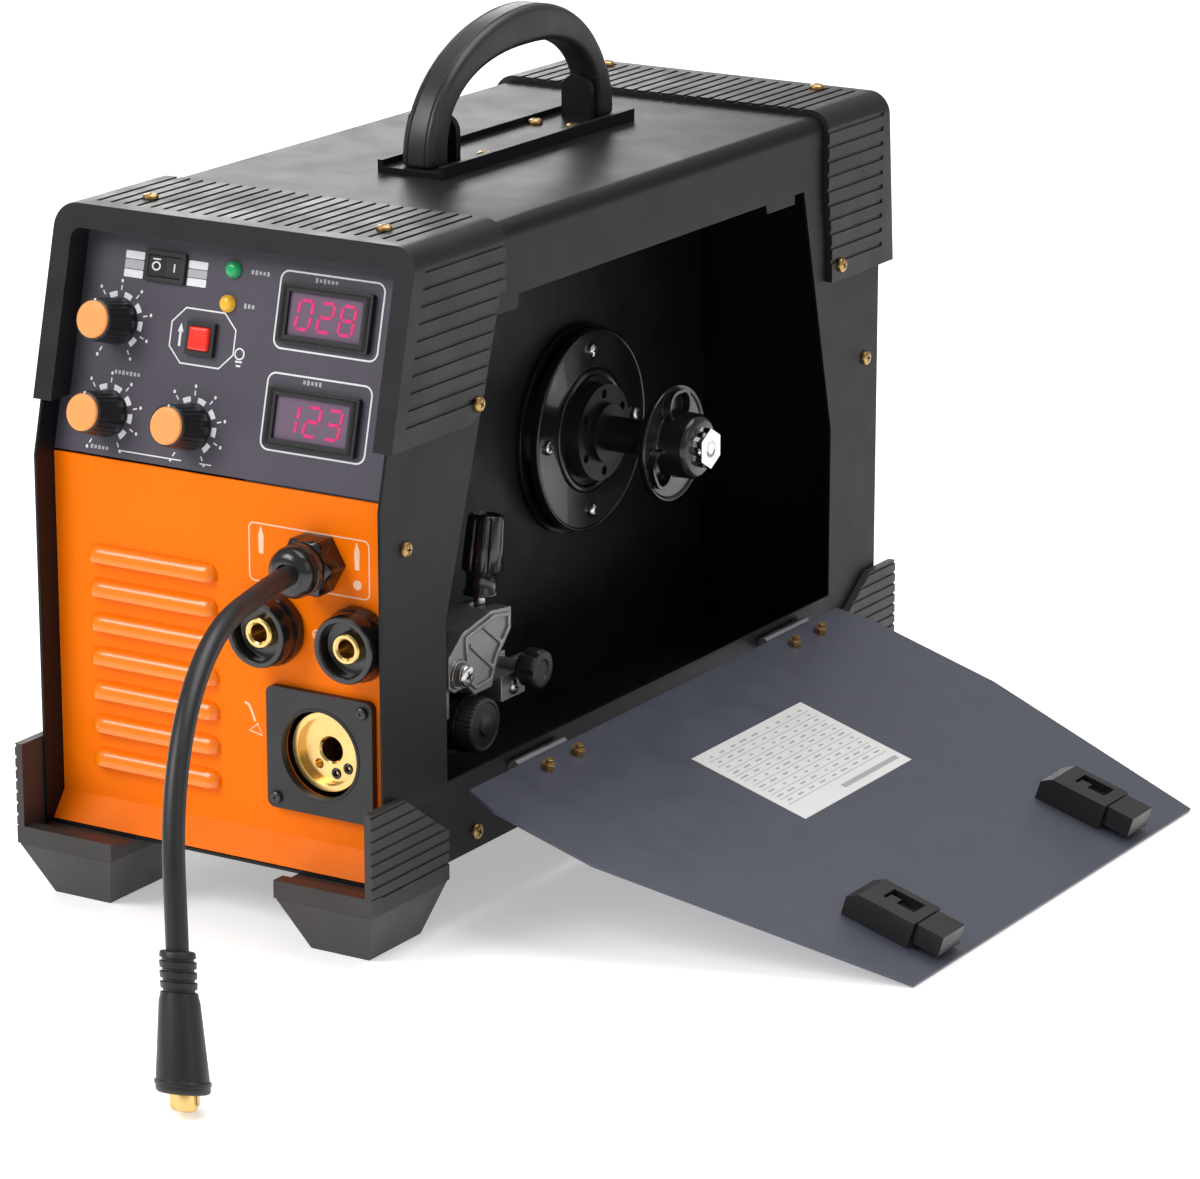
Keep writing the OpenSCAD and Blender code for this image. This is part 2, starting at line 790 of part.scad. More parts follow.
module pressure_arm() {
  color(alu) difference() {
    union() {
      along_x(66.4, 74)
        polygon([
          [arm_y - 8, arm_z - 6], [arm_y - 3, arm_z - 9], [arm_y + 8, arm_z - 8], [roll_y - 8, 97.5],
          [roll_y + 8, 97.5], [-99, 112], [-86, 124], [-86, 135], [-103, 137], [-130, 132], [arm_y - 8, 122]
        ]);
      rod_along_x(50.3, 75.8, arm_y, arm_z, 15);
      // bridge over the roll, forked at its tip for the tension rod
      along_x(50.5, 66.5)
        polygon([[-124, 121], [-86, 124], [-86, 135], [-103, 137], [-130, 132], [-138, 122], [-138, 116]]);
      rod_along_x(52, 66.5, roll_y, press_z, 5.9);
    }
    rod_along_x(49, 80, arm_y, arm_z, 8 + 2 * run_gap);
    block(rod_x - 4.4, rod_x + 4.4, -102, -80, 110, 150);
  }
}

module pressure_roll() {
  color(steel) difference() {
    rod_along_x(53, 64.4, roll_y, press_z, 2 * press_r);
    rod_along_x(52, 66, roll_y, press_z, 5.9 + 2 * run_gap);
  }
}

module along_rod() {
  translate([rod_x, rod_y, rod_z]) rotate([-rod_tilt, 0, 0]) children();
}

module tension_rod() {
  color(steel) difference() {
    union() {
      translate([rod_x - 3, rod_y, rod_z]) rotate([0, 90, 0]) cylinder(h = 6, d = 10);
      along_rod() peg(3, 66, 6);
      along_rod() peg(65, 69, 9);
    }
    rod_along_x(rod_x - 5, rod_x + 5, rod_y, rod_z, 4 + 2 * run_gap);
  }
}

module tension_knob() {
  color(black) along_rod() difference() {
    union() {
      peg(35, 44, 17);
      difference() {
        peg(43.9, 74, 21);
        for (a = [0:45:315]) rotate(a) translate([11.6, 0, 0]) peg(43, 71, 4);
      }
    }
    peg(34, 64.9, 6 + 2 * run_gap);
    peg(64.8, 70, 9 + 4 * run_gap);
  }
}

module clamp_knob() {
  color(black) difference() {
    union() {
      rod_along_x(74, 77, clamp_at[0], clamp_at[1], 14);
      rod_along_x(76.9, 87, clamp_at[0], clamp_at[1], 21);
    }
    for (a = [0:60:300])
      rod_along_x(77.5, 88, clamp_at[0] + 12 * cos(a), clamp_at[1] + 12 * sin(a), 6);
  }
}

// ---------- connections ----------

module euro_plate() {
  color(black) on_panel() difference() {
    translate([wire_x, wire_z, 0.05]) linear_extrude(4) difference() {
      rounded_rect(62, 62, 4);
      circle(d = 44);
    }
    for (s = [-1, 1]) translate([wire_x + s * euro_screw, wire_z + s * euro_screw, 0]) peg(-1, 6, 4.2);
  }
}

module panel_screws() {
  color(steel) on_panel()
    for (s = [-1, 1]) translate([wire_x + s * euro_screw, wire_z + s * euro_screw, 4.1]) screw_up(0, 6.4, 9);
}

module euro_socket() {
  color(brass) on_panel() translate([wire_x, wire_z, 0]) difference() {
    union() {
      peg(-12, -2, 40);
      peg(-76, -11.9, 24);
    }
    peg(-6, 0, 34);
    peg(-77, 2, 12);
    translate([0, 0, -7]) cylinder(h = 1.1, d1 = 12, d2 = 14.2);
    // gas port and the two sockets of the torch switch
    translate([-7, -8, 0]) peg(-11, 0, 5);
    for (at = [[3, -11.5], [10, -8]]) translate([at[0], at[1], 0]) peg(-11, 0, 5.6);
  }
}

module dinse_sockets() {
  color(black) on_panel()
    for (x = dinse_xs) translate([x, dinse_z, 0]) difference() {
      union() {
        peg(0.05, 7, 37);
        peg(6.9, 16, 34);
        peg(-22, 0.1, 25.6);
      }
      peg(-23, 17, 15.7);
      peg(8, 17, 27);
      for (a = [0:45:315]) rotate(a) translate([18.5, 0, 0]) peg(-1, 8, 3);
    }
}

module dinse_inserts() {
  color(brass) on_panel()
    for (x = dinse_xs) translate([x, dinse_z, 0]) difference() {
      peg(-34, 13.5, 15.6);
      peg(-22, 14, 9.2);
      translate([-1.2, 0, -15]) cube([2.4, 6.2, 30]);
    }
}

module cable_gland() {
  color(black) on_panel() translate([gland_x, gland_z, 0]) difference() {
    union() {
      peg(-10, 0.2, 16);
      translate([0, 0, 0.05]) cylinder(h = 13, d = 31.2, $fn = 6);
      peg(13, 14.5, 22);
      peg(14.4, 24, 26);
      translate([0, 0, 23.9]) cylinder(h = 5, d1 = 24.5, d2 = 17);
    }
    peg(-11, 30, sleeve_d);
  }
}

lead_d = 10;
lead_start_y = panel_y - 31.8;
lead_turn = 15;
lead_roll = 8;
lead_straight = 58;
bend_r = 124;
bend = 73.3;
bend_overlap = 1.5;
sleeve_d = lead_d + 0.6;

// local x runs away from the panel along the lead, z is up, and the lead sags toward +y by its roll
module lead_plane() {
  translate([gland_x, lead_start_y, gland_z]) rotate([0, 0, -90 + lead_turn]) rotate([lead_roll, 0, 0])
    children();
}

// where the bend ends, in that plane
lead_end = [lead_straight + bend_r * sin(bend), bend_r * (cos(bend) - 1)];
// from there to the bench, and where the plug begins
tail_len = (gland_z + lead_end[1] * cos(lead_roll) - 2.4) / (sin(bend) * cos(lead_roll));
plug_from = tail_len - 72;

// local z runs down the tail of the lead, from the end of its bend
module lead_tail() {
  translate([lead_end[0], 0, lead_end[1]]) rotate([0, 90 + bend, 0]) children();
}

module polarity_cable() {
  color("#18181a") {
    rod_along_y(lead_start_y - 1.5, panel_y - 2, gland_x, gland_z, lead_d - 0.2);
    lead_plane() {
      translate([-1, 0, 0]) rotate([0, 90, 0]) cylinder(h = lead_straight + 1, d = sleeve_d);
      // the bend runs on a little inside the straight stretches
      translate([lead_straight, 0, -bend_r]) rotate([90, 0, 0]) rotate([0, 0, 90 - bend - bend_overlap])
        rotate_extrude(angle = bend + 2 * bend_overlap, $fn = 64) translate([bend_r, 0]) circle(d = lead_d);
      lead_tail() peg(0, plug_from, sleeve_d);
    }
  }
}

module polarity_plug() {
  lead_plane() lead_tail() translate([0, 0, plug_from]) {
    color(black) difference() {
      union() {
        peg(0.1, 22, 17);
        translate([0, 0, 21.9]) cylinder(h = 40, d1 = 18.5, d2 = 25);
        peg(61.8, 63, 25);
      }
      for (z = [3:4.6:18]) difference() {
        peg(z, z + 1.6, 18);
        peg(z - 1, z + 2.6, 15);
      }
    }
    color(brass) peg(62.9, 72, 13);
  }
}

// ---------- controls ----------

module panel_knob(at) {
  color(black) on_fascia() translate([at[0], at[1], 0]) {
    difference() {
      translate([0, 0, 0.6]) cylinder(h = 20, d1 = 23, d2 = 20.5);
      for (a = [0:30:330]) rotate(a) translate([12.4, 0, 3]) cylinder(h = 18, d = 2.4, $fn = 16);
    }
    peg(20.5, 22, 18);
    peg(-12, 0.7, 6);
  }
}

module upper_left_knob() {
  panel_knob(knobs[0]);
}

module lower_left_knob() {
  panel_knob(knobs[1]);
}

module lower_right_knob() {
  panel_knob(knobs[2]);
}

module meter_housings() {
  color(black) on_fascia()
    for (m = meters) translate([m[0], m[1], 0]) difference() {
      union() {
        translate([0, 0, 0.05]) linear_extrude(3) rounded_rect(53, 29, 1.5);
        translate([-23, -12, -16]) cube([46, 24, 16.1]);
      }
      translate([-21.5, -10.5, -14]) cube([43, 21, 20]);
    }
}

module meter_displays() {
  color("#d8a0a8") on_fascia()
    for (m = meters) translate([m[0] - 21.4, m[1] - 10.4, -0.4]) cube([42.8, 20.8, 1.8]);
}

module switch_housings() {
  color(black) {
    on_fascia() translate([rocker_at[0], rocker_at[1], 0]) difference() {
      union() {
        translate([-12, -7.5, 0.05]) cube([24, 15, 2]);
        translate([-10.6, -6.1, -16]) cube([21.2, 12.2, 16.1]);
      }
      translate([-9.8, -5.3, -12]) cube([19.6, 10.6, 20]);
    }
    on_fascia() translate([button_at[0], button_at[1], 0]) difference() {
      union() {
        translate([-8.2, -8.2, 0.05]) cube([16.4, 16.4, 2.5]);
        translate([-6.9, -6.9, -14]) cube([13.8, 13.8, 14.1]);
      }
      translate([-5.9, -5.9, -9]) cube([11.8, 11.8, 20]);
    }
    on_rear() translate([-mains_at[0], mains_at[1], 0]) difference() {
      union() {
        translate([-15.5, -12.5, 0.05]) cube([31, 25, 2]);
        translate([-13.6, -10.6, -20]) cube([27.2, 21.2, 20.1]);
      }
      translate([-12.4, -9.4, -14]) cube([24.8, 18.8, 20]);
    }
  }
}

rocker_tilt = 8;

// rocker drawn across its width, tilted to one side, with the stub ends of its pivot
module rocker_shape(half, rise, depth, wide) {
  rotate([0, rocker_tilt, 0]) rotate([90, 0, 0]) {
    translate([0, 0, -wide / 2]) linear_extrude(wide)
      polygon([[-half, rise + 1.5], [0, rise], [half, rise + 1.5], [half, -1], [0, -depth], [-half, -1]]);
    translate([0, 0, -wide / 2 - 0.25]) cylinder(h = wide + 0.5, d = 2.4);
  }
}

module mode_rocker() {
  color("#2a2a2d") on_fascia() translate([rocker_at[0], rocker_at[1], -1.5]) rocker_shape(9, 2.2, 6, 10);
}

module mains_rocker() {
  color("#b02020") on_rear() translate([-mains_at[0], mains_at[1], -1.5]) rocker_shape(11.6, 2.2, 7, 18);
}

module panel_button() {
  color("#c81818") on_fascia()
    translate([button_at[0] - 5.6, button_at[1] - 5.6, -5]) cube([11.2, 11.2, 9.5]);
}

module panel_leds() {
  color("#30c060") on_fascia()
    for (l = leds) translate([l[0], l[1], 0]) {
      peg(0.05, 2.2, 8.4);
      peg(-6, 0.1, 5);
      translate([0, 0, 2.1]) cylinder(h = 1.6, d1 = 7, d2 = 4);
    }
}

// ---------- inside and rear ----------

fan_y0 = rear_y - sheet - 27;

module fan_frame() {
  color(black) translate([fan_at[0], 0, fan_at[1]]) {
    difference() {
      along_y(fan_y0, fan_y0 + 25) difference() {
        rounded_rect(92, 92, 6);
        circle(d = 86);
      }
    }
    along_y(fan_y0, fan_y0 + 3) {
      circle(d = 34);
      for (a = [45:90:315]) rotate(a) translate([0, -2]) square([46, 4]);
    }
    rod_along_y(fan_y0 + 2.9, fan_y0 + 20, 0, 0, 5);
  }
}

module fan_rotor() {
  color(charcoal) translate([fan_at[0], 0, fan_at[1]]) difference() {
    union() {
      rod_along_y(fan_y0 + 4, fan_y0 + 23, 0, 0, 34);
      for (a = [0:360 / 7:359])
        rotate([0, a, 0]) translate([28, fan_y0 + 13.5, 0]) rotate([35, 0, 0])
          block(-13, 13, -1, 1, -9, 9);
    }
    rod_along_y(fan_y0 + 3, fan_y0 + 20.5, 0, 0, 5 + 2 * run_gap);
  }
}

module power_unit() {
  color(alu) {
    block(-96, -90, -60, 180, 96, 250);
    for (z = [100:12:244]) block(-90.1, -62, -60, 180, z, z + 2.5);
    block(-62.1, -58, -60, 180, 96, 250);
    block(-58.1, -20, -50, -10, 110, 150);
    block(-58.1, -24, 40, 110, 120, 190);
    block(-70, -30, 40, 150, case_floor + sheet + 0.1, 92);
  }
}

module gas_valve() {
  color(brass) {
    on_rear() translate([-gas_at[0], gas_at[1], 0]) difference() {
      union() {
        peg(-26, 0.2, 12);
        translate([0, 0, 0.1]) cylinder(h = 5, d = 17, $fn = 6);
        peg(5, 25, 8);
      }
      peg(-20, 26, 4.5);
    }
    block(gas_at[0] - 13, gas_at[0] + 13, rear_y - 56, rear_y - 25.9, gas_at[1] - 13, gas_at[1] + 18);
  }
}

module power_cord() {
  color("#18181a") {
    on_rear() translate([-cord_at[0], cord_at[1], 0]) {
      peg(-14, 0.2, 20);
      translate([0, 0, 0.1]) cylinder(h = 6, d = 28, $fn = 6);
      peg(6, 20, 18);
    }
    rod_along_y(rear_y + 19.9, rear_y + 25, cord_at[0], cord_at[1], cord_d);
    translate([cord_at[0], rear_y + 25, cord_at[1] - cord_bend]) rotate([0, -90, 0])
      rotate_extrude(angle = 90, $fn = 64) translate([cord_bend, 0]) circle(d = cord_d, $fn = 24);
    translate([cord_at[0], rear_y + 25 + cord_bend, 12])
      cylinder(h = cord_at[1] - cord_bend - 11.9, d = cord_d, $fn = 24);
  }
}

from_datum() base_chassis();
from_datum() cover_shell();
from_datum() divider_wall();
from_datum() front_panel();
from_datum() control_fascia();
from_datum() rear_panel();
from_datum() front_bezel();
from_datum() rear_bezel();
from_datum() front_feet();
from_datum() rear_feet();
from_datum() handle_bracket();
from_datum() handle_grip();
from_datum() handle_end_caps();
from_datum() cover_screws();
from_datum() top_screws();
from_datum() side_door();
from_datum() hinge_frame_leaves();
from_datum() hinge_door_leaves();
from_datum() door_screws();
from_datum() latch_housings();
from_datum() front_latch_slide();
from_datum() rear_latch_slide();
from_datum() door_chart();
from_datum() spool_drum();
from_datum() spool_screws();
from_datum() spool_shaft();
from_datum() spool_hub();
from_datum() spool_retainer();
from_datum() feeder_motor();
from_datum() feeder_body();
from_datum() drive_roll();
from_datum() drive_roll_cap();
from_datum() pressure_arm();
from_datum() pressure_roll();
from_datum() tension_rod();
from_datum() tension_knob();
from_datum() clamp_knob();
from_datum() euro_plate();
from_datum() euro_socket();
from_datum() dinse_sockets();
from_datum() dinse_inserts();
from_datum() cable_gland();
from_datum() polarity_cable();
from_datum() polarity_plug();
from_datum() upper_left_knob();
from_datum() lower_left_knob();
from_datum() lower_right_knob();
from_datum() meter_housings();
from_datum() meter_displays();
from_datum() switch_housings();
from_datum() mode_rocker();
from_datum() panel_button();
from_datum() panel_leds();
from_datum() mains_rocker();
from_datum() panel_screws();
from_datum() fan_frame();
from_datum() fan_rotor();
from_datum() power_unit();
from_datum() gas_valve();
from_datum() power_cord();
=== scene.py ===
"""Looks for a portable wire-feed welding machine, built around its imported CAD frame.

Lengths are metres in the CAD's own frame: +Z is up, the control panel faces -Y, the door side is +X.
Flat print and small fittings are laid out in millimetres on the plate that carries them.
"""

import json
import math
import random

import bmesh
import bpy
from mathutils import Matrix, Vector


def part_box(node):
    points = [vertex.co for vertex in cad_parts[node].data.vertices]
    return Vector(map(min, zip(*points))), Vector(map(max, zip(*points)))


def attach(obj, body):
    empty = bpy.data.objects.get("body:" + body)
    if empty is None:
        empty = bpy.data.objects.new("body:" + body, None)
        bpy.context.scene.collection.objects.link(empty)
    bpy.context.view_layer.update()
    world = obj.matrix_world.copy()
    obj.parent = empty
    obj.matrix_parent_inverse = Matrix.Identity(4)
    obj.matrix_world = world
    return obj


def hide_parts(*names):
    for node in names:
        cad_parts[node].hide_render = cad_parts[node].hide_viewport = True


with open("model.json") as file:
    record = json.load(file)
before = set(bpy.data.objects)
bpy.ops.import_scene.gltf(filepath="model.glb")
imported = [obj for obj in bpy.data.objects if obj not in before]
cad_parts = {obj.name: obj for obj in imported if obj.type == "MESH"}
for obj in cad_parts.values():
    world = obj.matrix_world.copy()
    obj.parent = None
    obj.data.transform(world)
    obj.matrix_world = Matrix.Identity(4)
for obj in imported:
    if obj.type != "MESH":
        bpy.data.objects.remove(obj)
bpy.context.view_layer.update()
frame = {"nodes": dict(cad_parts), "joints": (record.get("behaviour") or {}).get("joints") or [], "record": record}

MM = 0.001
nodes = frame["nodes"]
joints = {joint["name"]: joint for joint in frame["joints"]}
chance = random.Random(7)


# ---- places taken from the frame


def low(node):
    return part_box(node)[0]


def high(node):
    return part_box(node)[1]


def middle(node):
    return (low(node) + high(node)) / 2


def basis(right, up, out, origin):
    """Matrix from millimetres on a plate (right, up, outward) to metres in the frame."""
    columns = [Vector(v).normalized() * MM for v in (right, up, out)]
    matrix = Matrix.Identity(4)
    for i, column in enumerate(columns):
        for row in range(3):
            matrix[row][i] = column[row]
    matrix.translation = origin
    return matrix


def door_side(origin):
    """Millimetres on a plate that faces the door side: along Y, up, outward."""
    return basis((0, 1, 0), (0, 0, 1), (1, 0, 0), origin)


# the point on the bench under the middle of the sheet case
home = Vector((middle("cover_shell").x, middle("cover_shell").y, 0))
case = basis((1, 0, 0), (0, 1, 0), (0, 0, 1), home)
case_top = high("cover_shell").z / MM

# control plate: across, up the slope, outward; its lower left knob is the reference
LOWER_LEFT_KNOB = Vector((-71, 21.5, 0))
lower_left_turn = joints["lower_left_knob_turn"]
fascia_out = Vector(lower_left_turn["axis"])
fascia_up = Vector((0, fascia_out.z, -fascia_out.y))
fascia = basis((1, 0, 0), fascia_up, fascia_out, Vector(lower_left_turn["pos_m"]))
fascia = fascia @ Matrix.Translation(-LOWER_LEFT_KNOB)

PLATE_GAP = 0.05
panel_y = (high("euro_plate").y - home.y) / MM + PLATE_GAP
panel = basis((1, 0, 0), (0, 0, 1), (0, -1, 0), case @ Vector((0, panel_y, 0)))
rear = basis((-1, 0, 0), (0, 0, 1), (0, 1, 0), Vector((home.x, high("rear_panel").y, 0)))

hinge = joints["door_hinge"]
hinge_spot = Vector(hinge["pos_m"])
door_turn = Matrix.Rotation(math.radians(-hinge["range_deg"][0]), 4, "Y")
# closed position to the open rest position
door_swing = Matrix.Translation(hinge_spot) @ door_turn @ Matrix.Translation(-hinge_spot)
# millimetres on the closed door, taken to where the open door holds them
door = door_swing @ door_side(Vector((hinge_spot.x, home.y, 0)))


def solids(node, space):
    """Boxes of the separate solids of a node, in a plate's millimetres."""
    bm = bmesh.new()
    bm.from_mesh(nodes[node].data)
    bmesh.ops.remove_doubles(bm, verts=bm.verts, dist=1e-6)
    into = space.inverted()
    left = set(bm.verts)
    found = []
    while left:
        queue = [left.pop()]
        points = []
        while queue:
            vert = queue.pop()
            points.append(into @ vert.co)
            for edge in vert.link_edges:
                other = edge.other_vert(vert)
                if other in left:
                    left.remove(other)
                    queue.append(other)
        corners = [[pick(point[i] for point in points) for i in range(3)] for pick in (min, max)]
        found.append(tuple(Vector(corner) for corner in corners))
    bm.free()
    return sorted(found, key=lambda box: [round(value, 1) for value in box[0]])


# ---- materials


finishes = {}


class Surface:
    """A node material under construction, kept in finishes under its name."""

    def __init__(self, name):
        self.material = bpy.data.materials.new(name)
        finishes[name] = self.material
        self.material.use_nodes = True
        self.tree = self.material.node_tree
        self.shader = self.tree.nodes["Principled BSDF"]
        self.place = self.add("ShaderNodeTexCoord").outputs["Object"]

    def add(self, kind, **settings):
        node = self.tree.nodes.new(kind)
        for key, value in settings.items():
            setattr(node, key, value)
        return node

    def link(self, source, target):
        self.tree.links.new(source, target)

    def noise(self, scale, detail):
        node = self.add("ShaderNodeTexNoise")
        node.inputs["Scale"].default_value = scale
        node.inputs["Detail"].default_value = detail
        self.link(self.place, node.inputs["Vector"])
        return node.outputs["Fac"]

    def ramp(self, source, low_in, high_in, low_out, high_out):
        node = self.add("ShaderNodeMapRange")
        limits = {"From Min": low_in, "From Max": high_in, "To Min": low_out, "To Max": high_out}
        for key, value in limits.items():
            node.inputs[key].default_value = value
        self.link(source, node.inputs["Value"])
        return node.outputs["Result"]

    def multiply(self, a, b):
        node = self.add("ShaderNodeMath", operation="MULTIPLY")
        self.link(a, node.inputs[0])
        self.link(b, node.inputs[1])
        return node.outputs[0]

    def mix(self, factor, a, b):
        """Colour mix; a and b are colours or sockets."""
        node = self.add("ShaderNodeMix", data_type="RGBA")
        self.link(factor, node.inputs["Factor"])
        for value, socket in ((a, node.inputs[6]), (b, node.inputs[7])):
            if isinstance(value, tuple):
                socket.default_value = (*value, 1)
            else:
                self.link(value, socket)
        return node.outputs[2]

    def rounded_normal(self, radius):
        node = self.add("ShaderNodeBevel", samples=4)
        node.inputs["Radius"].default_value = radius
        return node.outputs["Normal"]

    def edges(self, rounded):
        """1 on edges, 0 on flats, broken up by noise."""
        dot = self.add("ShaderNodeVectorMath", operation="DOT_PRODUCT")
        geometry = self.add("ShaderNodeNewGeometry")
        self.link(rounded, dot.inputs[0])
        self.link(geometry.outputs["Normal"], dot.inputs[1])
        sharp = self.ramp(dot.outputs["Value"], 0.995, 0.88, 0, 1)
        patch = self.ramp(self.noise(160, 4), 0.42, 0.62, 0, 1)
        return self.multiply(sharp, patch)

    def bump(self, height, strength, distance, normal):
        node = self.add("ShaderNodeBump")
        node.inputs["Strength"].default_value = strength
        node.inputs["Distance"].default_value = distance
        self.link(height, node.inputs["Height"])
        self.link(normal, node.inputs["Normal"])
        return node.outputs["Normal"]


def scaled(color, factor):
    return tuple(min(1.0, channel * factor) for channel in color)


def surface(
    name,
    color,
    rough=0.5,
    metal=0.0,
    tone=0.1,
    tone_scale=18,
    rough_spread=0.07,
    grain=0.25,
    grain_scale=1400,
    grain_depth=0.06,
    radius=0.35,
    worn=None,
    coat=0.0,
    level=0.5,
):
    """Painted, moulded or machined finish: tone drift, uneven gloss, fine grain, soft and worn edges."""
    made = Surface(name)
    drift = made.noise(tone_scale, 4)
    base = made.mix(drift, scaled(color, 1 - tone), scaled(color, 1 + tone))
    rounded = made.rounded_normal(radius * MM)
    if worn:
        base = made.mix(made.edges(rounded), base, worn)
    gloss = made.ramp(made.noise(45, 5), 0.3, 0.7, rough - rough_spread, rough + rough_spread)
    fine = made.noise(grain_scale, 2)
    normal = made.bump(fine, grain, grain_depth * MM, rounded)
    made.link(base, made.shader.inputs["Base Color"])
    made.link(gloss, made.shader.inputs["Roughness"])
    made.link(normal, made.shader.inputs["Normal"])
    made.shader.inputs["Metallic"].default_value = metal
    made.shader.inputs["Coat Weight"].default_value = coat
    made.shader.inputs["Specular IOR Level"].default_value = level


def glow(name, color, strength, rough=0.25):
    """Glowing plastic: colour and light drift together across the lens; on the lamps and meter figures it is their
    light, on the push button it is painted glow.
    """
    made = Surface(name)
    drift = made.noise(300, 2)
    base = made.mix(drift, scaled(color, 0.8), scaled(color, 1.2))
    light = made.ramp(drift, 0.3, 0.7, strength * 0.8, strength)
    made.link(base, made.shader.inputs["Base Color"])
    made.link(base, made.shader.inputs["Emission Color"])
    made.link(light, made.shader.inputs["Emission Strength"])
    made.shader.inputs["Roughness"].default_value = rough


# paint
surface(
    "case_black_paint", (0.006, 0.0062, 0.0076), 0.44, tone=0.05, rough_spread=0.03, grain=0.5,
    worn=(0.026, 0.026, 0.029), level=0.22,
)
# darker black for the parts inside the case: painted shade
surface("inside_shade_black", (0.004, 0.005, 0.006), 0.5, grain=0.4, level=0.3)
surface(
    "panel_orange_paint", (1.0, 0.185, 0.0), 0.42, tone=0.04, grain=0.15,
    worn=(1.0, 0.3, 0.05), level=0.1,
)
# the hoods' paint is the panel paint with a lighter base colour, a painted highlight, and a gloss coat so they
# catch brighter highlights
surface(
    "hood_orange_lit", (1.0, 0.22, 0.0), 0.3, tone=0.04, grain=0.1,
    worn=(1.0, 0.35, 0.08), coat=0.8, level=0.3,
)
surface("fascia_grey_paint", (0.066, 0.056, 0.078), 0.46, tone=0.07, grain=0.35)
surface("door_grey_paint", (0.068, 0.072, 0.098), 0.42, tone=0.06, grain=0.45)

# moulded plastic and rubber
surface(
    "surround_plastic", (0.0145, 0.0145, 0.016), 0.42, grain=0.45, grain_scale=1900,
    worn=(0.07, 0.07, 0.073), level=0.28,
)
surface("foot_plastic", (0.03, 0.027, 0.026), 0.5, grain=0.5, worn=(0.08, 0.07, 0.068))
surface("handle_plastic", (0.024, 0.024, 0.026), 0.4, grain=0.45, grain_scale=1700)
surface("latch_plastic", (0.014, 0.014, 0.015), 0.36, grain=0.3, worn=(0.05, 0.05, 0.05))
surface("gloss_black_plastic", (0.009, 0.009, 0.01), 0.22, grain=0.08, radius=0.6, coat=0.3)
surface("matte_black_plastic", (0.014, 0.014, 0.015), 0.42, grain=0.3)
surface("knob_plastic", (0.012, 0.012, 0.013), 0.36, grain=0.2)
surface("orange_cap", (1.0, 0.36, 0.1), 0.4, tone=0.04, grain=0.15, radius=0.4)
surface("dark_wheel", (0.035, 0.036, 0.038), 0.46, grain=0.3, worn=(0.1, 0.1, 0.1))
# near black put into gaps and screw recesses: painted shade
surface("gap_shade_black", (0.004, 0.004, 0.004), 0.6, grain=0.1)
surface("display_window", (0.17, 0.12, 0.175), 0.12, tone=0.1, tone_scale=60, grain=0.02)
surface("cable_rubber", (0.011, 0.011, 0.012), 0.44, grain=0.4, grain_scale=900)

# metal
surface(
    "yellow_zinc", (0.5, 0.31, 0.12), 0.34, 1.0, tone=0.25, tone_scale=260, grain=0.2,
    worn=(0.8, 0.75, 0.65),
)
surface("bright_steel", (0.62, 0.62, 0.61), 0.24, 1.0, tone=0.1, grain=0.2, grain_scale=900)
surface("chrome_steel", (0.75, 0.75, 0.76), 0.12, 1.0, tone=0.04, grain=0.05)
surface("hinge_steel", (0.4, 0.4, 0.41), 0.33, 1.0, tone=0.15, grain=0.25, grain_scale=700)
surface("motor_steel", (0.12, 0.12, 0.125), 0.4, 0.6, grain=0.3)
surface("dark_steel", (0.075, 0.075, 0.08), 0.36, 0.85, tone=0.2, grain=0.3, worn=(0.32, 0.32, 0.33))
surface(
    "cast_aluminium", (0.3, 0.3, 0.31), 0.42, 0.9, tone=0.18, tone_scale=90, grain=0.6,
    grain_scale=520, grain_depth=0.12, radius=0.8, worn=(0.75, 0.75, 0.76),
)
surface(
    "brass", (0.78, 0.53, 0.2), 0.22, 1.0, tone=0.14, tone_scale=120, grain=0.15,
    worn=(0.9, 0.72, 0.4),
)

# paper and printed marks
surface("chart_paper", (0.82, 0.82, 0.81), 0.42, tone=0.03, grain=0.15, radius=0.05)
surface("pale_print", (1.0, 0.62, 0.42), 0.5, tone=0.08, tone_scale=400, grain=0.1, radius=0.02)
surface("white_print", (0.78, 0.78, 0.8), 0.5, tone=0.08, tone_scale=400, grain=0.1, radius=0.02)
surface("grey_print", (0.42, 0.43, 0.46), 0.5, tone=0.1, tone_scale=300, grain=0.1, radius=0.02)

# lit plastic
# the push button is no lamp: its glow is painted light
glow("red_plastic", (0.85, 0.03, 0.02), 0.25)
glow("led_lens", (0.02, 0.35, 0.12), 0.15, 0.15)
glow("led_amber", (0.75, 0.4, 0.03), 0.25, 0.15)
glow("red_digit", (0.5, 0.03, 0.13), 0.55)


# ---- mesh helpers


def shade(mesh, angle=32):
    mesh.polygons.foreach_set("use_smooth", [True] * len(mesh.polygons))
    mesh.set_sharp_from_angle(angle=math.radians(angle))
    mesh.update()


def make_piece(name, bm, look, body, angle=32):
    """Turns a bmesh into a piece with one of the finishes, riding on a CAD body.
    """
    bmesh.ops.remove_doubles(bm, verts=bm.verts, dist=1e-7)
    bmesh.ops.recalc_face_normals(bm, faces=bm.faces)
    mesh = bpy.data.meshes.new(name)
    bm.to_mesh(mesh)
    bm.free()
    mesh.materials.append(finishes[look])
    shade(mesh, angle)
    piece = bpy.data.objects.new(name, mesh)
    bpy.context.scene.collection.objects.link(piece)
    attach(piece, body)
    return piece


def loft(bm, rings, endless=False):
    """Skins point rings with quads; the ends get one face each, or join if the loft is endless."""
    layers = [[bm.verts.new(point) for point in ring] for ring in rings]
    following = layers[1:] + layers[:1] if endless else layers[1:]
    count = len(rings[0])
    for near, far in zip(layers, following):
        for i in range(count):
            j = (i + 1) % count
            bm.faces.new((near[i], near[j], far[j], far[i]))
    if not endless:
        bm.faces.new(list(reversed(layers[0])))
        bm.faces.new(layers[-1])


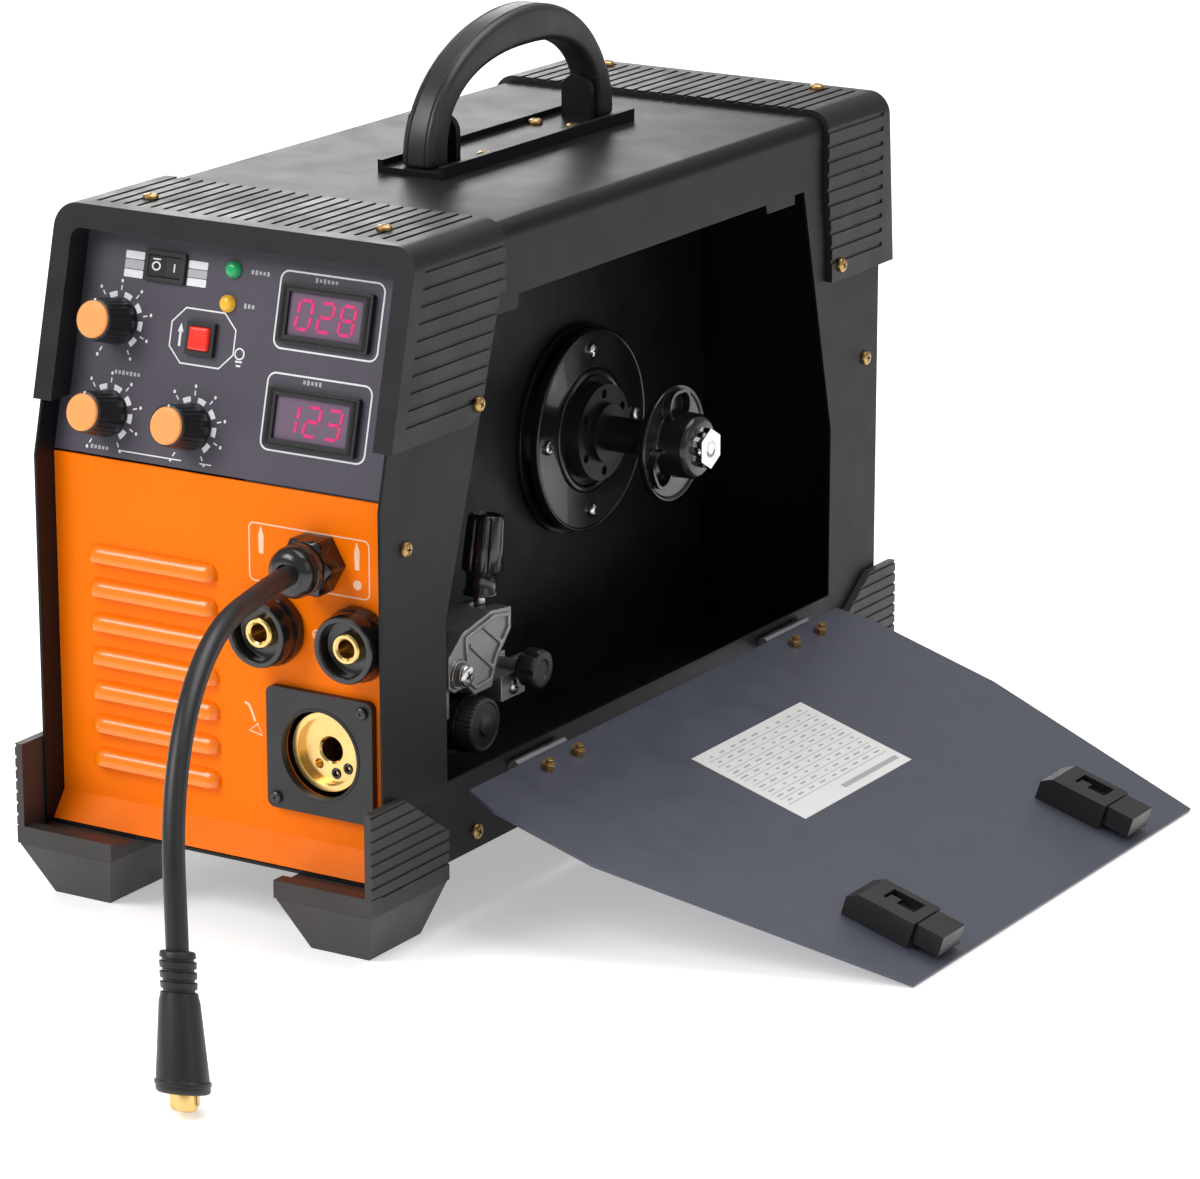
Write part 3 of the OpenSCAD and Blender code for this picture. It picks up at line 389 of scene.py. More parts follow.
def prism(bm, outline, bottom, top, space, inset=0.0):
    """Closed plate from a 2D outline; inset draws in the top edge to soften it."""
    levels = [(outline, bottom)]
    if inset:
        cx = sum(x for x, _ in outline) / len(outline)
        cy = sum(y for _, y in outline) / len(outline)
        pulled = []
        for x, y in outline:
            reach = math.hypot(x - cx, y - cy)
            pulled.append((x - inset * (x - cx) / reach, y - inset * (y - cy) / reach))
        levels += [(outline, top - inset), (pulled, top)]
    else:
        levels.append((outline, top))
    loft(bm, [[space @ Vector((x, y, height)) for x, y in points] for points, height in levels])


def angles_round(count):
    return [2 * math.pi * i / count for i in range(count)]


def polar(radius, a, height):
    """Point at an angle in radians round the local Z axis."""
    return Vector((radius * math.cos(a), radius * math.sin(a), height))


def turned(bm, profile, space, sides=48):
    """Closed solid of revolution about the local Z axis from (radius, height) points."""
    rings = [[space @ polar(radius, a, height) for a in angles_round(sides)] for radius, height in profile]
    loft(bm, rings)


def turned_ring(bm, profile, space, sides=48):
    """Revolves a closed profile that doesn't reach the axis."""
    rings = [[space @ polar(radius, a, height) for radius, height in profile] for a in angles_round(sides)]
    loft(bm, rings, endless=True)


def fluted(bm, space, rings, flutes, sides=160, sharpness=3):
    """Turned shape with shallow flutes; each ring is (radius, height, flute depth)."""
    layers = []
    for radius, height, depth in rings:
        layer = []
        for a in angles_round(sides):
            cut = depth * max(0.0, math.cos(flutes * a)) ** sharpness
            layer.append(space @ polar(radius - cut, a, height))
        layers.append(layer)
    loft(bm, layers)


NUT_CHAMFER = 1.2


def hex_nut(bm, space, flats, bottom, top):
    """Hexagonal collar whose top is turned to a circle just inside the flats."""
    sixth = math.pi / 3
    rings = []
    for height, is_round in ((bottom, False), (top - NUT_CHAMFER, False), (top, True)):
        ring = []
        for a in angles_round(48):
            from_corner = abs((a + sixth / 2) % sixth - sixth / 2)
            reach = 0.99 if is_round else 1 / math.cos(sixth / 2 - from_corner)
            ring.append(space @ polar(flats / 2 * reach, a, height))
        rings.append(ring)
    loft(bm, rings)


def arc(cx, cy, radius, start, end, steps):
    points = []
    for i in range(steps + 1):
        a = math.radians(start + (end - start) * i / steps)
        points.append((cx + radius * math.cos(a), cy + radius * math.sin(a)))
    return points


def rounded_box(cx, cy, width, height, radius, steps=6):
    points = []
    for sx, sy, start in ((1, 1, 0), (-1, 1, 90), (-1, -1, 180), (1, -1, 270)):
        px = cx + sx * (width / 2 - radius)
        py = cy + sy * (height / 2 - radius)
        points += arc(px, py, radius, start, start + 90, steps)
    return points


def bar(x0, y0, x1, y1, width):
    """Outline of a straight stroke."""
    length = math.hypot(x1 - x0, y1 - y0)
    ox = -(y1 - y0) / length * width / 2
    oy = (x1 - x0) / length * width / 2
    return [(x0 + ox, y0 + oy), (x0 - ox, y0 - oy), (x1 - ox, y1 - oy), (x1 + ox, y1 + oy)]


def ribbon(bm, path, width, bottom, top, space, closed=False):
    """Raised line of print along a path of 2D points."""
    count = len(path)
    rings = []
    for i, (x, y) in enumerate(path):
        before = path[i - 1] if closed or i else path[0]
        after = path[(i + 1) % count] if closed or i < count - 1 else path[-1]
        dx = after[0] - before[0]
        dy = after[1] - before[1]
        length = math.hypot(dx, dy)
        ox = -dy / length * width / 2
        oy = dx / length * width / 2
        rings.append([
            space @ Vector((x + ox, y + oy, bottom)),
            space @ Vector((x - ox, y - oy, bottom)),
            space @ Vector((x - ox, y - oy, top)),
            space @ Vector((x + ox, y + oy, top)),
        ])
    loft(bm, rings, endless=closed)


def tube(bm, path, radius, sides):
    """Round bar along a smooth 3D path that never runs straight up."""
    up = Vector((0, 0, 1))
    rings = []
    for i, point in enumerate(path):
        ahead = path[min(i + 1, len(path) - 1)] - path[max(i - 1, 0)]
        side = ahead.cross(up).normalized()
        over = side.cross(ahead).normalized()
        turns = angles_round(sides)
        rings.append([point + side * radius * math.cos(a) + over * radius * math.sin(a) for a in turns])
    loft(bm, rings)


# ---- handle

# middle of the arch behind the middle of the case, and its foot over the case top
HANDLE_MID = 40.0
HANDLE_BASE = 6.5
# each edge of the arch: reach to the front, reach to the back, rise
ARCH_OUTER = (97, 79, 66)
ARCH_INNER = (80.5, 65, 46)
ARCH_FULLNESS = 0.85
GRIP_CORNER = 3.6
GROOVE = 0.6


def handle_section(turn, wide, grow):
    """Rounded cross-section of the handle at an angle round its arch, grooved on the outer face."""
    c = math.cos(math.radians(turn))
    s = max(math.sin(math.radians(turn)), 0.0)
    half = 0 if c < 0 else 1
    base = case_top + HANDLE_BASE
    outer = Vector((HANDLE_MID + ARCH_OUTER[half] * c, base + ARCH_OUTER[2] * s))
    reach = math.copysign(ARCH_INNER[half] * abs(c) ** ARCH_FULLNESS, c)
    inner = Vector((HANDLE_MID + reach, base + ARCH_INNER[2] * s**ARCH_FULLNESS))
    out = (outer - inner).normalized()
    mid = (outer + inner) / 2
    deep = (outer - inner).length / 2 + grow
    radius = GRIP_CORNER
    outline = arc(wide - radius, deep - radius, radius, 0, 90, 5)
    for x in (0.55 * wide, -0.55 * wide):
        outline += [(x + GROOVE, deep), (x, deep - GROOVE), (x - GROOVE, deep)]
    outline += arc(radius - wide, deep - radius, radius, 90, 180, 5)
    outline += arc(radius - wide, radius - deep, radius, 180, 270, 5)
    outline += arc(wide - radius, radius - deep, radius, 270, 360, 5)
    return [case @ Vector((x, mid.x + out.x * d, mid.y + out.y * d)) for x, d in outline]


def build_handle():
    bm = bmesh.new()
    loft(bm, [handle_section(turn, 9, 0) for turn in range(18, 163, 3)])
    grip = make_piece("handle_grip_shape", bm, "handle_plastic", "case", angle=40)
    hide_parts("handle_grip")

    bm = bmesh.new()
    for turns in (range(0, 21, 2), range(180, 159, -2)):
        rings = [handle_section(turn, 9.5, 0.25) for turn in turns]
        foot = rings[0]
        centre = sum(foot, Vector()) / len(foot)
        # the foot of each cuff rounds in toward the bracket
        for drop, shrink in ((1.6, 0.995), (2.6, 0.96), (3.2, 0.88)):
            down = Vector((0, 0, -drop * MM))
            rings.insert(0, [centre + (point - centre) * shrink + down for point in foot])
        loft(bm, rings)
    cuffs = make_piece("handle_cuffs", bm, "handle_plastic", "case", angle=40)
    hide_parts("handle_end_caps")


# ---- front panel

LOUVRE_X = -42.0
LOUVRE_LENGTH = 78.0
LOUVRE_PITCH = 17.6
LOUVRE_FIRST = 70.0
LOUVRE_COUNT = 7
LOUVRE_DEPTH = 5.0
# upper and lower edge of a hood, from the middle of its slot
LOUVRE_BROW = 4.6
LOUVRE_LIP = -3.6
# length over which each end of a hood fades into the panel
LOUVRE_FADE = 7.0
LOUVRE_SHEET = 0.9
LOUVRE_LIFT = 0.02
LOUVRE_STEPS = 32


def louvre_section(x):
    """Outline of a hood at a distance from its middle: (height, depth) pairs."""
    into_end = max(0.0, abs(x) - (LOUVRE_LENGTH / 2 - LOUVRE_FADE)) / LOUVRE_FADE
    full = math.sqrt(max(0.004, 1 - into_end**2))
    tall = (LOUVRE_BROW - LOUVRE_LIP) * (0.55 + 0.45 * full)
    points = []
    for degrees in range(0, 91, 9):
        a = math.radians(degrees)
        depth = LOUVRE_DEPTH * full * math.sin(a)
        points.append((LOUVRE_LIP + tall * math.cos(a) ** 0.9, LOUVRE_LIFT + depth))
    # the underside of the lip, then the back inside the panel
    points.append((LOUVRE_LIP, LOUVRE_LIFT + max(0.0, LOUVRE_DEPTH * full - LOUVRE_SHEET)))
    return points + [(LOUVRE_LIP + 3.0, -0.3), (LOUVRE_BROW - 3.0, -0.6)]


def build_louvres():
    """Pressed hoods over the slots: a rounded brow that is deepest at its lower lip."""
    bm = bmesh.new()
    for i in range(LOUVRE_COUNT):
        middle_z = LOUVRE_FIRST + i * LOUVRE_PITCH
        rings = []
        for step in range(LOUVRE_STEPS + 1):
            x = LOUVRE_LENGTH * (step / LOUVRE_STEPS - 0.5)
            section = louvre_section(x)
            rings.append([panel @ Vector((LOUVRE_X + x, middle_z + z, out)) for z, out in section])
        loft(bm, rings)
    # hoods in the lighter copy of the panel paint: painted highlight
    make_piece("louvre_hoods", bm, "hood_orange_lit", "case", 50)


PRINT_BASE = 0.01
PRINT_TOP = 0.12


def stamp(bm, outline, space):
    """Printed patch on a plate."""
    prism(bm, outline, PRINT_BASE, PRINT_TOP, space)


def outline_strip(bm, points, width, space):
    """Printed line round a closed outline."""
    ribbon(bm, points, width, PRINT_BASE, PRINT_TOP, space, closed=True)


def ring_path(cx, cy, radius):
    """Circle in 15-degree steps; the last step is left for the closing stroke."""
    return arc(cx, cy, radius, 0, 345, 23)


def build_panel_print():
    """Pale outline round the gland with nozzle signs, and small signs beside the sockets."""
    bm = bmesh.new()
    outline_strip(bm, rounded_box(51.5, 190.5, 70, 29, 3), 0.7, panel)
    for x, z in ((23.5, 197), (79.5, 197)):
        nozzle = [(x - 1.3, z - 7), (x + 1.3, z - 7), (x + 1.6, z + 2), (x, z + 7), (x - 1.6, z + 2)]
        stamp(bm, nozzle, panel)
    stamp(bm, ring_path(79.5, 182.5, 2.4), panel)
    outline_strip(bm, ring_path(55.5, 154, 2.3), 0.8, panel)
    for stroke in ((53.6, 154, 57.4, 154), (55.5, 152.1, 55.5, 155.9)):
        stamp(bm, bar(*stroke, 0.7), panel)
    # bent torch neck over a work piece
    neck = [(12, 113), (14.5, 112), (16.5, 108), (18, 104)]
    ribbon(bm, neck, 1.3, PRINT_BASE, PRINT_TOP, panel)
    outline_strip(bm, [(14.5, 99), (22, 97.5), (19.5, 103)], 0.9, panel)
    make_piece("panel_signs", bm, "pale_print", "case")


# places on the panel, across and up
GLAND = (57.5, 191.0)
SOCKETS = ((30.0, 154.0), (81.0, 154.0))
TORCH = (58.5, 94.5)
# from the middle of the torch socket
TORCH_CONTACTS = ((3, -11.5), (10, -8))
GRIP_BLOCKS = 8


def build_gland():
    spot = panel @ Matrix.Translation((*GLAND, 0))
    bm = bmesh.new()
    hex_nut(bm, spot, 27, 0.05, 14)
    collar = [
        (5.4, 13.5), (11.4, 13.5), (11.4, 14.6), (12.9, 15.2), (13.1, 16.5), (13.1, 18.6), (12.5, 19.2),
        (12.5, 19.9), (13.0, 20.5), (12.8, 23.0), (11.8, 25.6), (9.8, 27.8), (7.6, 28.8), (5.4, 28.8),
    ]
    turned_ring(bm, collar, spot, 64)
    gland = make_piece("gland_shape", bm, "gloss_black_plastic", "case", angle=40)
    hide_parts("cable_gland")


def build_current_sockets():
    outline = [
        (7.9, 0.1), (17.2, 0.1), (18.3, 0.8), (18.3, 5.8), (17.6, 6.9), (17.0, 8.5), (17.0, 14.6),
        (16.4, 15.7), (15.2, 16.0), (14.0, 15.7), (13.5, 14.9), (13.4, 8.3), (12.8, 8.0), (7.9, 8.0),
    ]
    tube_wall = [(4.6, -18), (7.8, -18), (7.8, 12.7), (7.0, 13.5), (5.6, 13.5), (4.6, 12.6)]
    keyway = [(-1.2, 4.4), (1.2, 4.4), (1.2, 5.0), (-1.2, 5.0)]
    shell = bmesh.new()
    core = bmesh.new()
    for x, z in SOCKETS:
        spot = panel @ Matrix.Translation((x, z, 0))
        turned_ring(shell, outline, spot, 64)
        # grip blocks round the foot of the body
        for i in range(GRIP_BLOCKS):
            turn = spot @ Matrix.Rotation(math.radians(22.5 + 360 * i / GRIP_BLOCKS), 4, "Z")
            prism(shell, rounded_box(17.7, 0, 1.6, 5.5, 0.6, 3), 0.8, 5.6, turn, 0.5)
        turned_ring(core, tube_wall, spot, 48)
        prism(core, keyway, -18, 12.2, spot)
    body = make_piece("current_socket_bodies", shell, "gloss_black_plastic", "case", angle=35)
    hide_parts("dinse_sockets")
    insert = make_piece("current_socket_inserts", core, "brass", "case", angle=35)
    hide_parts("dinse_inserts")


def build_torch_socket():
    """Insulated contact sleeves in the brass face, and a near-black ring deep in the gap round it, painted shade.
    """
    spot = panel @ Matrix.Translation((*TORCH, 0))
    sleeve = [(1.3, -9.5), (2.75, -9.5), (2.75, -5.7), (2.3, -5.3), (1.6, -5.3), (1.3, -5.6)]
    sleeves = bmesh.new()
    contacts = bmesh.new()
    for x, y in TORCH_CONTACTS:
        centre = spot @ Matrix.Translation((x, y, 0))
        turned_ring(sleeves, sleeve, centre, 28)
        turned(contacts, [(1.2, -10.5), (1.2, -7.2), (0.7, -6.8)], centre, 20)
    make_piece("torch_contact_sleeves", sleeves, "gloss_black_plastic", "case")
    make_piece("torch_contacts", contacts, "brass", "case")

    # near-black ring filling the bottom of the gap: painted shade
    gap = bmesh.new()
    turned_ring(gap, [(20.05, -11), (21.9, -11), (21.9, -8), (20.05, -8)], spot, 64)
    make_piece("torch_gap_shade", gap, "gap_shade_black", "case")

    lip = [(21.95, 3.9), (23.6, 3.9), (23.6, 4.35), (23.0, 4.6), (22.4, 4.6), (21.95, 4.3)]
    bm = bmesh.new()
    turned_ring(bm, lip, spot, 64)
    make_piece("torch_plate_lip", bm, "matte_black_plastic", "case")


# ---- welding lead

# the lead leaves the gland, runs out from the panel, bends down and ends in a plug on the bench:
# its radius, the lengths of its parts, and the plug's clearance over the bench
LEAD_R = 5.2
LEAD_OUT = 31.8
LEAD_INSIDE = 20.0
LEAD_STRAIGHT = 58.0
LEAD_BEND_R = 124.0
PLUG_LENGTH = 72.0
PLUG_CLEAR = 2.4
PLUG_OVERLAP = 8.0
# degrees: away from square to the panel, away from hanging straight, and round the bend
LEAD_TURN = 15.0
LEAD_ROLL = 8.0
LEAD_BEND = 73.3


def bezier(controls, t):
    """Point on a cubic curve from its four control points."""
    weights = ((1 - t) ** 3, 3 * t * (1 - t) ** 2, 3 * t * t * (1 - t), t**3)
    return sum((point * weight for point, weight in zip(controls, weights)), Vector())


def lead_course():
    """Points along the lead, and the matrix of its plug with local z pointing down the plug."""
    turn = math.radians(LEAD_TURN)
    roll = math.radians(LEAD_ROLL)
    bend = math.radians(LEAD_BEND)
    along = Vector((math.sin(turn), -math.cos(turn), 0))
    side = Vector((math.cos(turn), math.sin(turn), 0))
    down = Vector((0, 0, -1)) * math.cos(roll) + side * math.sin(roll)

    start = Vector((GLAND[0], panel_y - LEAD_OUT, GLAND[1]))
    inside = start + Vector((0, LEAD_INSIDE, 0))
    far = start + along * LEAD_STRAIGHT
    # it comes out of the gland square to the panel and swings to its own direction
    controls = (inside, start + Vector((0, 2, 0)), start + along * LEAD_STRAIGHT * 0.4, far)
    points = [bezier(controls, i / 12) for i in range(13)]
    for i in range(1, 31):
        a = bend * i / 30
        points.append(far + along * LEAD_BEND_R * math.sin(a) + down * LEAD_BEND_R * (1 - math.cos(a)))

    tail = (along * math.cos(bend) + down * math.sin(bend)).normalized()
    end = points[-1]
    tail_length = (end.z - PLUG_CLEAR) / -tail.z
    plug_start = end + tail * (tail_length - PLUG_LENGTH)
    points += [end + (plug_start - end) * i / 4 for i in range(1, 5)]
    points.append(plug_start + tail * PLUG_OVERLAP)
    return points, basis(side, tail.cross(side), tail, case @ plug_start)


def build_lead():
    points, plug = lead_course()
    bm = bmesh.new()
    tube(bm, [case @ point for point in points], LEAD_R * MM, 28)
    lead = make_piece("lead_cable", bm, "cable_rubber", "case", angle=60)
    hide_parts("polarity_cable")

    sleeve = [(5.3, 0.3), (7.6, 0.3), (8.1, 1.0)]
    # bend-relief ribs
    for i in range(4):
        at = 3.0 + 4.6 * i
        sleeve += [(8.3, at), (7.3, at + 0.3), (7.3, at + 1.5), (8.5, at + 1.8)]
    sleeve += [(8.7, 20), (9.4, 23), (12.4, 60), (12.5, 61.6), (12.1, 62.8), (11.2, 63.4), (5.3, 63.4)]
    bm = bmesh.new()
    turned_ring(bm, sleeve, plug, 56)
    # moulded rim on the mouth
    turned_ring(bm, [(11.9, 57.5), (12.9, 58), (12.9, 59.6), (11.9, 60.2)], plug, 56)
    body = make_piece("lead_plug_body", bm, "cable_rubber", "case", angle=38)
    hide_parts("polarity_plug")

    bm = bmesh.new()
    turned(bm, [(6.4, 60), (6.4, 69.5), (5.6, 71), (3.0, 71.9)], plug, 40)
    # key on the pin
    prism(bm, [(5.9, -1.6), (7.2, -1.6), (7.2, 1.6), (5.9, 1.6)], 64, 68.5, plug)
    make_piece("lead_plug_pin", bm, "brass", "case", 38)


# ---- control plate

KNOBS = ("upper_left_knob", "lower_left_knob", "lower_right_knob")
# dial round each knob: degrees, then radii from the knob's middle
DIAL_START = 240
DIAL_SWEEP = 300
DIAL_BLOCKS = 8
BLOCK_INNER = 12.2
BLOCK_OUTER = 14.9
TICK_START = 15.4
TICK_END = 17.8
DOT_AT = 20.0
# frame round the push button
BUTTON = (-20.2, 65.0)
BUTTON_FRAME = (19.0, 13.5)
BUTTON_CORNER = 7.5
# frame round each meter: middle, width and height
METER_FRAMES = ((51.3, 84.5, 60, 37.4), (51, 35.3, 60.4, 37.2))
# plates either side of the rocker: across, lower and upper edge
ROCKER_PLATES = ((-65.6, 89.3, 102.2), (-27.7, 89.2, 101.5))
PLATE_WIDTH = 11.4
PLATE_BAND = 3.8
# captions: start across, height and number of strokes
CAPTIONS = ((-69, 42.5, 7), (-78, 4.6, 5), (4.5, 100, 5), (2.5, 83.3, 3), (42, 100.3, 6), (42, 51.2, 5))
CAPTION_PITCH = 2.3


def knob_spot(name):
    return fascia.inverted() @ Vector(joints[name + "_turn"]["pos_m"])


def build_knob(name):
    spot = fascia @ Matrix.Translation(knob_spot(name))
    body = name + "_body"
    rings = [
        (11.2, 0.7, 0), (11.6, 1.2, 0.1), (11.5, 3.0, 0.45), (11.0, 12.0, 0.45),
        (10.6, 18.6, 0.45), (10.5, 19.8, 0.1), (10.2, 20.4, 0), (9.4, 20.6, 0),
    ]
    bm = bmesh.new()
    fluted(bm, spot, rings, 24, sides=144, sharpness=2)
    skirt = make_piece(name + "_skirt", bm, "knob_plastic", body, angle=50)
    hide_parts(name)

    bm = bmesh.new()
    turned(bm, [(9.2, 20.3), (9.2, 21.2), (8.8, 21.8), (8.0, 22.0), (4.0, 21.95), (0.01, 21.9)], spot, 56)
    make_piece(name + "_cap", bm, "orange_cap", body, 40)

    bm = bmesh.new()
    prism(bm, rounded_box(0, 9.75, 1.0, 1.3, 0.4, 3), 20.2, 20.9, spot)
    make_piece(name + "_pointer", bm, "white_print", body)


def build_dial(bm, name):
    """Ticks and dots round a knob, with a block in each space between them."""
    spot = knob_spot(name)
    step = DIAL_SWEEP / DIAL_BLOCKS
    for i in range(DIAL_BLOCKS + 1):
        angle = DIAL_START - step * i
        ox = math.cos(math.radians(angle))
        oy = math.sin(math.radians(angle))
        inner = (spot.x + TICK_START * ox, spot.y + TICK_START * oy)
        outer = (spot.x + TICK_END * ox, spot.y + TICK_END * oy)
        stamp(bm, bar(*inner, *outer, 0.7), fascia)
        stamp(bm, rounded_box(spot.x + DOT_AT * ox, spot.y + DOT_AT * oy, 1.3, 1.7, 0.5, 2), fascia)
        if i < DIAL_BLOCKS:
            near = angle - 0.24 * step
            far = angle - 0.76 * step
            block = arc(spot.x, spot.y, BLOCK_OUTER, near, far, 5)
            stamp(bm, block + arc(spot.x, spot.y, BLOCK_INNER, far, near, 5), fascia)


def button_frame():
    """Octagon round the push button."""
    cx, cy = BUTTON
    wide, tall = BUTTON_FRAME
    points = []
    for sx, sy in ((1, 1), (-1, 1), (-1, -1), (1, -1)):
        side_point = (cx + sx * wide, cy + sy * (tall - BUTTON_CORNER))
        end_point = (cx + sx * (wide - BUTTON_CORNER), cy + sy * tall)
        points += [side_point, end_point] if sx * sy > 0 else [end_point, side_point]
    return points


def build_fascia_print():
    bm = bmesh.new()
    for name in KNOBS:
        build_dial(bm, name)
    outline_strip(bm, button_frame(), 0.8, fascia)
    for meter_frame in METER_FRAMES:
        outline_strip(bm, rounded_box(*meter_frame, 4.5), 0.9, fascia)
    # arrow beside the button
    stamp(bm, bar(-33.5, 59.5, -33.5, 67, 1.3), fascia)
    stamp(bm, [(-35.2, 66.5), (-31.8, 66.5), (-33.5, 71)], fascia)
    # rules under the lower knobs
    stamp(bm, bar(-62, 4.6, -24, 4.6, 0.6), fascia)
    stamp(bm, bar(-13, 4.6, -6, 4.6, 0.6), fascia)
    # heat sign: a bulb over two bars
    outline_strip(bm, ring_path(2.5, 60, 2.6), 0.8, fascia)
    stamp(bm, bar(0.5, 56.2, 4.5, 56.2, 0.9), fascia)
    stamp(bm, bar(1.2, 54.2, 3.8, 54.2, 0.9), fascia)
    for x, lower, upper in ROCKER_PLATES:
        for y in (lower + PLATE_BAND / 2, upper - PLATE_BAND / 2):
            stamp(bm, rounded_box(x, y, PLATE_WIDTH, PLATE_BAND, 0.5, 2), fascia)
    make_piece("fascia_print", bm, "white_print", "case")


def build_captions():
    """Grey bands beside the rocker, and faint captions drawn as plain strokes."""
    bm = bmesh.new()
    for x, lower, upper in ROCKER_PLATES:
        y = (lower + upper) / 2
        height = upper - lower - 2 * (PLATE_BAND + 0.4)
        stamp(bm, rounded_box(x, y, PLATE_WIDTH, height, 0.4, 2), fascia)
        prism(bm, bar(x - 3.5, y, x + 3.5, y, 1.4), PRINT_TOP, PRINT_TOP + 0.08, fascia)
    for x, y, count in CAPTIONS:
        for i in range(count):
            tall = 2 * (0.8 + 0.5 * chance.random())
            stamp(bm, rounded_box(x + CAPTION_PITCH * i, y, 1.4, tall, 0.3, 2), fascia)
    make_piece("fascia_captions", bm, "grey_print", "case")


SEGMENTS = {
    "0": "abcdef",
    "1": "bc",
    "2": "abged",
    "3": "abgcd",
    "8": "abcdefg",
}
DIGIT_W = 7.6
DIGIT_H = 14.0
DIGIT_PITCH = 12.4
DIGIT_SLANT = 0.12
DIGIT_GAP = 0.8
METER_WINDOW = (45, 22.4)


def digit_strokes(figure, cx, cy):
    """Bars of a seven-segment figure as end points."""
    w = DIGIT_W / 2
    h = DIGIT_H / 2
    gap = DIGIT_GAP
    ends = {
        "a": (-w + gap, h, w - gap, h),
        "g": (-w + gap, 0, w - gap, 0),
        "d": (-w + gap, -h, w - gap, -h),
        "f": (-w, gap, -w, h - gap),
        "b": (w, gap, w, h - gap),
        "e": (-w, gap - h, -w, -gap),
        "c": (w, gap - h, w, -gap),
    }
    strokes = []
    for key in SEGMENTS[figure]:
        x0, y0, x1, y1 = ends[key]
        strokes.append((cx + x0 + DIGIT_SLANT * y0, cy + y0, cx + x1 + DIGIT_SLANT * y1, cy + y1))
    return strokes


def top_first(boxes):
    return sorted(boxes, key=lambda box: -box[0].y)


def build_meters():
    """Lit figures over each window, and a stepped lip round it."""
    lit = bmesh.new()
    lip = bmesh.new()
    for (low_box, high_box), figures in zip(top_first(solids("meter_displays", fascia)), ("028", "123")):
        centre = (low_box + high_box) / 2
        face = high_box.z
        for i, figure in enumerate(figures):
            cx = centre.x + (i - 1) * DIGIT_PITCH
            for stroke in digit_strokes(figure, cx, centre.y):
                prism(lit, bar(*stroke, 1.7), face + 0.02, face + 0.2, fascia)
        for grow, bottom, top in ((0.2, face, face + 1.0), (1.6, face + 0.9, face + 1.9)):
            wide, tall = (side + 2 * grow for side in METER_WINDOW)
            outer = rounded_box(centre.x, centre.y, wide, tall, 0.8, 3)
            ribbon(lip, outer, 1.6, bottom, top, fascia, closed=True)
    make_piece("meter_figures", lit, "red_digit", "case")
    make_piece("meter_lips", lip, "gloss_black_plastic", "case")


def build_lamps():
    dome = [(2.4, -5), (2.4, 0.1), (4.2, 0.1), (4.2, 1.6), (3.6, 2.3), (3.4, 2.8), (2.6, 3.4), (1.2, 3.7)]
    lamps = (("upper_lamp", "led_lens"), ("lower_lamp", "led_amber"))
    for (low_box, high_box), (name, look) in zip(top_first(solids("panel_leds", fascia)), lamps):
        centre = (low_box + high_box) / 2
        bm = bmesh.new()
        turned(bm, dome, fascia @ Matrix.Translation((centre.x, centre.y, 0)), 40)
        make_piece(name, bm, look, "case", 50)
    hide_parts("panel_leds")


ROCKER_TILT = 8.0


def rocker_halves(plate, joint, reach, rise, slope):
    """Plates on the two sloping halves of a rocker at rest: left, then right."""
    pivot = plate.inverted() @ Vector(joints[joint]["pos_m"])
    tilted = plate @ Matrix.Translation(pivot) @ Matrix.Rotation(math.radians(ROCKER_TILT), 4, "Y")
    halves = []
    for side in (-1, 1):
        lean = Matrix.Rotation(math.radians(-side * slope), 4, "Y")
        halves.append(tilted @ Matrix.Translation((side * reach, 0, rise)) @ lean)
    return halves


def build_rocker_marks():
    """Ring and bar marks on the halves of the rockers."""
    left, right = rocker_halves(fascia, "mode_rocker_tilt", 5, 3.15, 9.5)
    bm = bmesh.new()
    outline_strip(bm, ring_path(0, 0, 1.9), 0.8, left)
    stamp(bm, bar(-2, 3.4, 2, 3.4, 0.7), left)
    stamp(bm, bar(0, -2, 0, 2, 0.8), right)
    make_piece("mode_rocker_marks", bm, "white_print", "mode_rocker_body")

    left, right = rocker_halves(rear, "mains_rocker_tilt", 6.5, 3.1, 7.4)
    bm = bmesh.new()
    outline_strip(bm, ring_path(0, 0, 2.4), 0.8, left)
    stamp(bm, bar(0, -2.6, 0, 2.6, 0.9), right)
    make_piece("mains_rocker_marks", bm, "white_print", "mains_rocker_body")


def build_push_button():
    """Square button with a soft pillow top."""
    (low_box, high_box), = solids("panel_button", fascia)
    centre = (low_box + high_box) / 2
    top = high_box.z
    # height, how far the edge is drawn in, and corner radius
    levels = ((low_box.z, 0, 1.0), (top - 0.7, 0, 1.0), (top - 0.2, 0.35, 1.2), (top, 1.2, 1.5))
    rings = []
    for height, cut, radius in levels:
        wide = high_box.x - low_box.x - 2 * cut
        outline = rounded_box(centre.x, centre.y, wide, wide, radius, 5)
        rings.append([fascia @ Vector((x, y, height)) for x, y in outline])
    bm = bmesh.new()
    loft(bm, rings)
    # the button's red plastic glows a little: painted light
    button = make_piece("push_button", bm, "red_plastic", "panel_button_body", angle=40)
    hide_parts("panel_button")


# ---- screws

# height of a pan head
SCREW_HEAD = 2.4
# node, finish, axis along which the screws stand, and the way they face (None: away from the middle)
SCREW_GROUPS = (
    ("cover_screws", "yellow_zinc", 0, None),
    ("top_screws", "yellow_zinc", 2, 1),
    ("panel_screws", "dark_steel", 1, -1),
    ("spool_screws", "bright_steel", 0, 1),
)


def screw_head(bm, cross, spot, radius, height):
    """Pan head with a near-black cross standing for its recess, painted shade; local z points out of the head."""
    profile = [(1, 0.03 / height), (1, 0.35), (0.93, 0.68), (0.74, 0.92), (0.5, 1), (0.02 / radius, 1)]
    turned(bm, [(radius * r, height * h) for r, h in profile], spot, 28)
    turn = spot @ Matrix.Rotation(chance.uniform(0, math.pi), 4, "Z")
    # the cross is a near-black solid set into the dome: painted shade where the recess would be
    reach = 0.5 * radius
    for stroke in ((-reach, 0, reach, 0), (0, -reach, 0, reach)):
        prism(cross, bar(*stroke, 0.24 * radius), 0.5 * height, height + 0.03, turn)


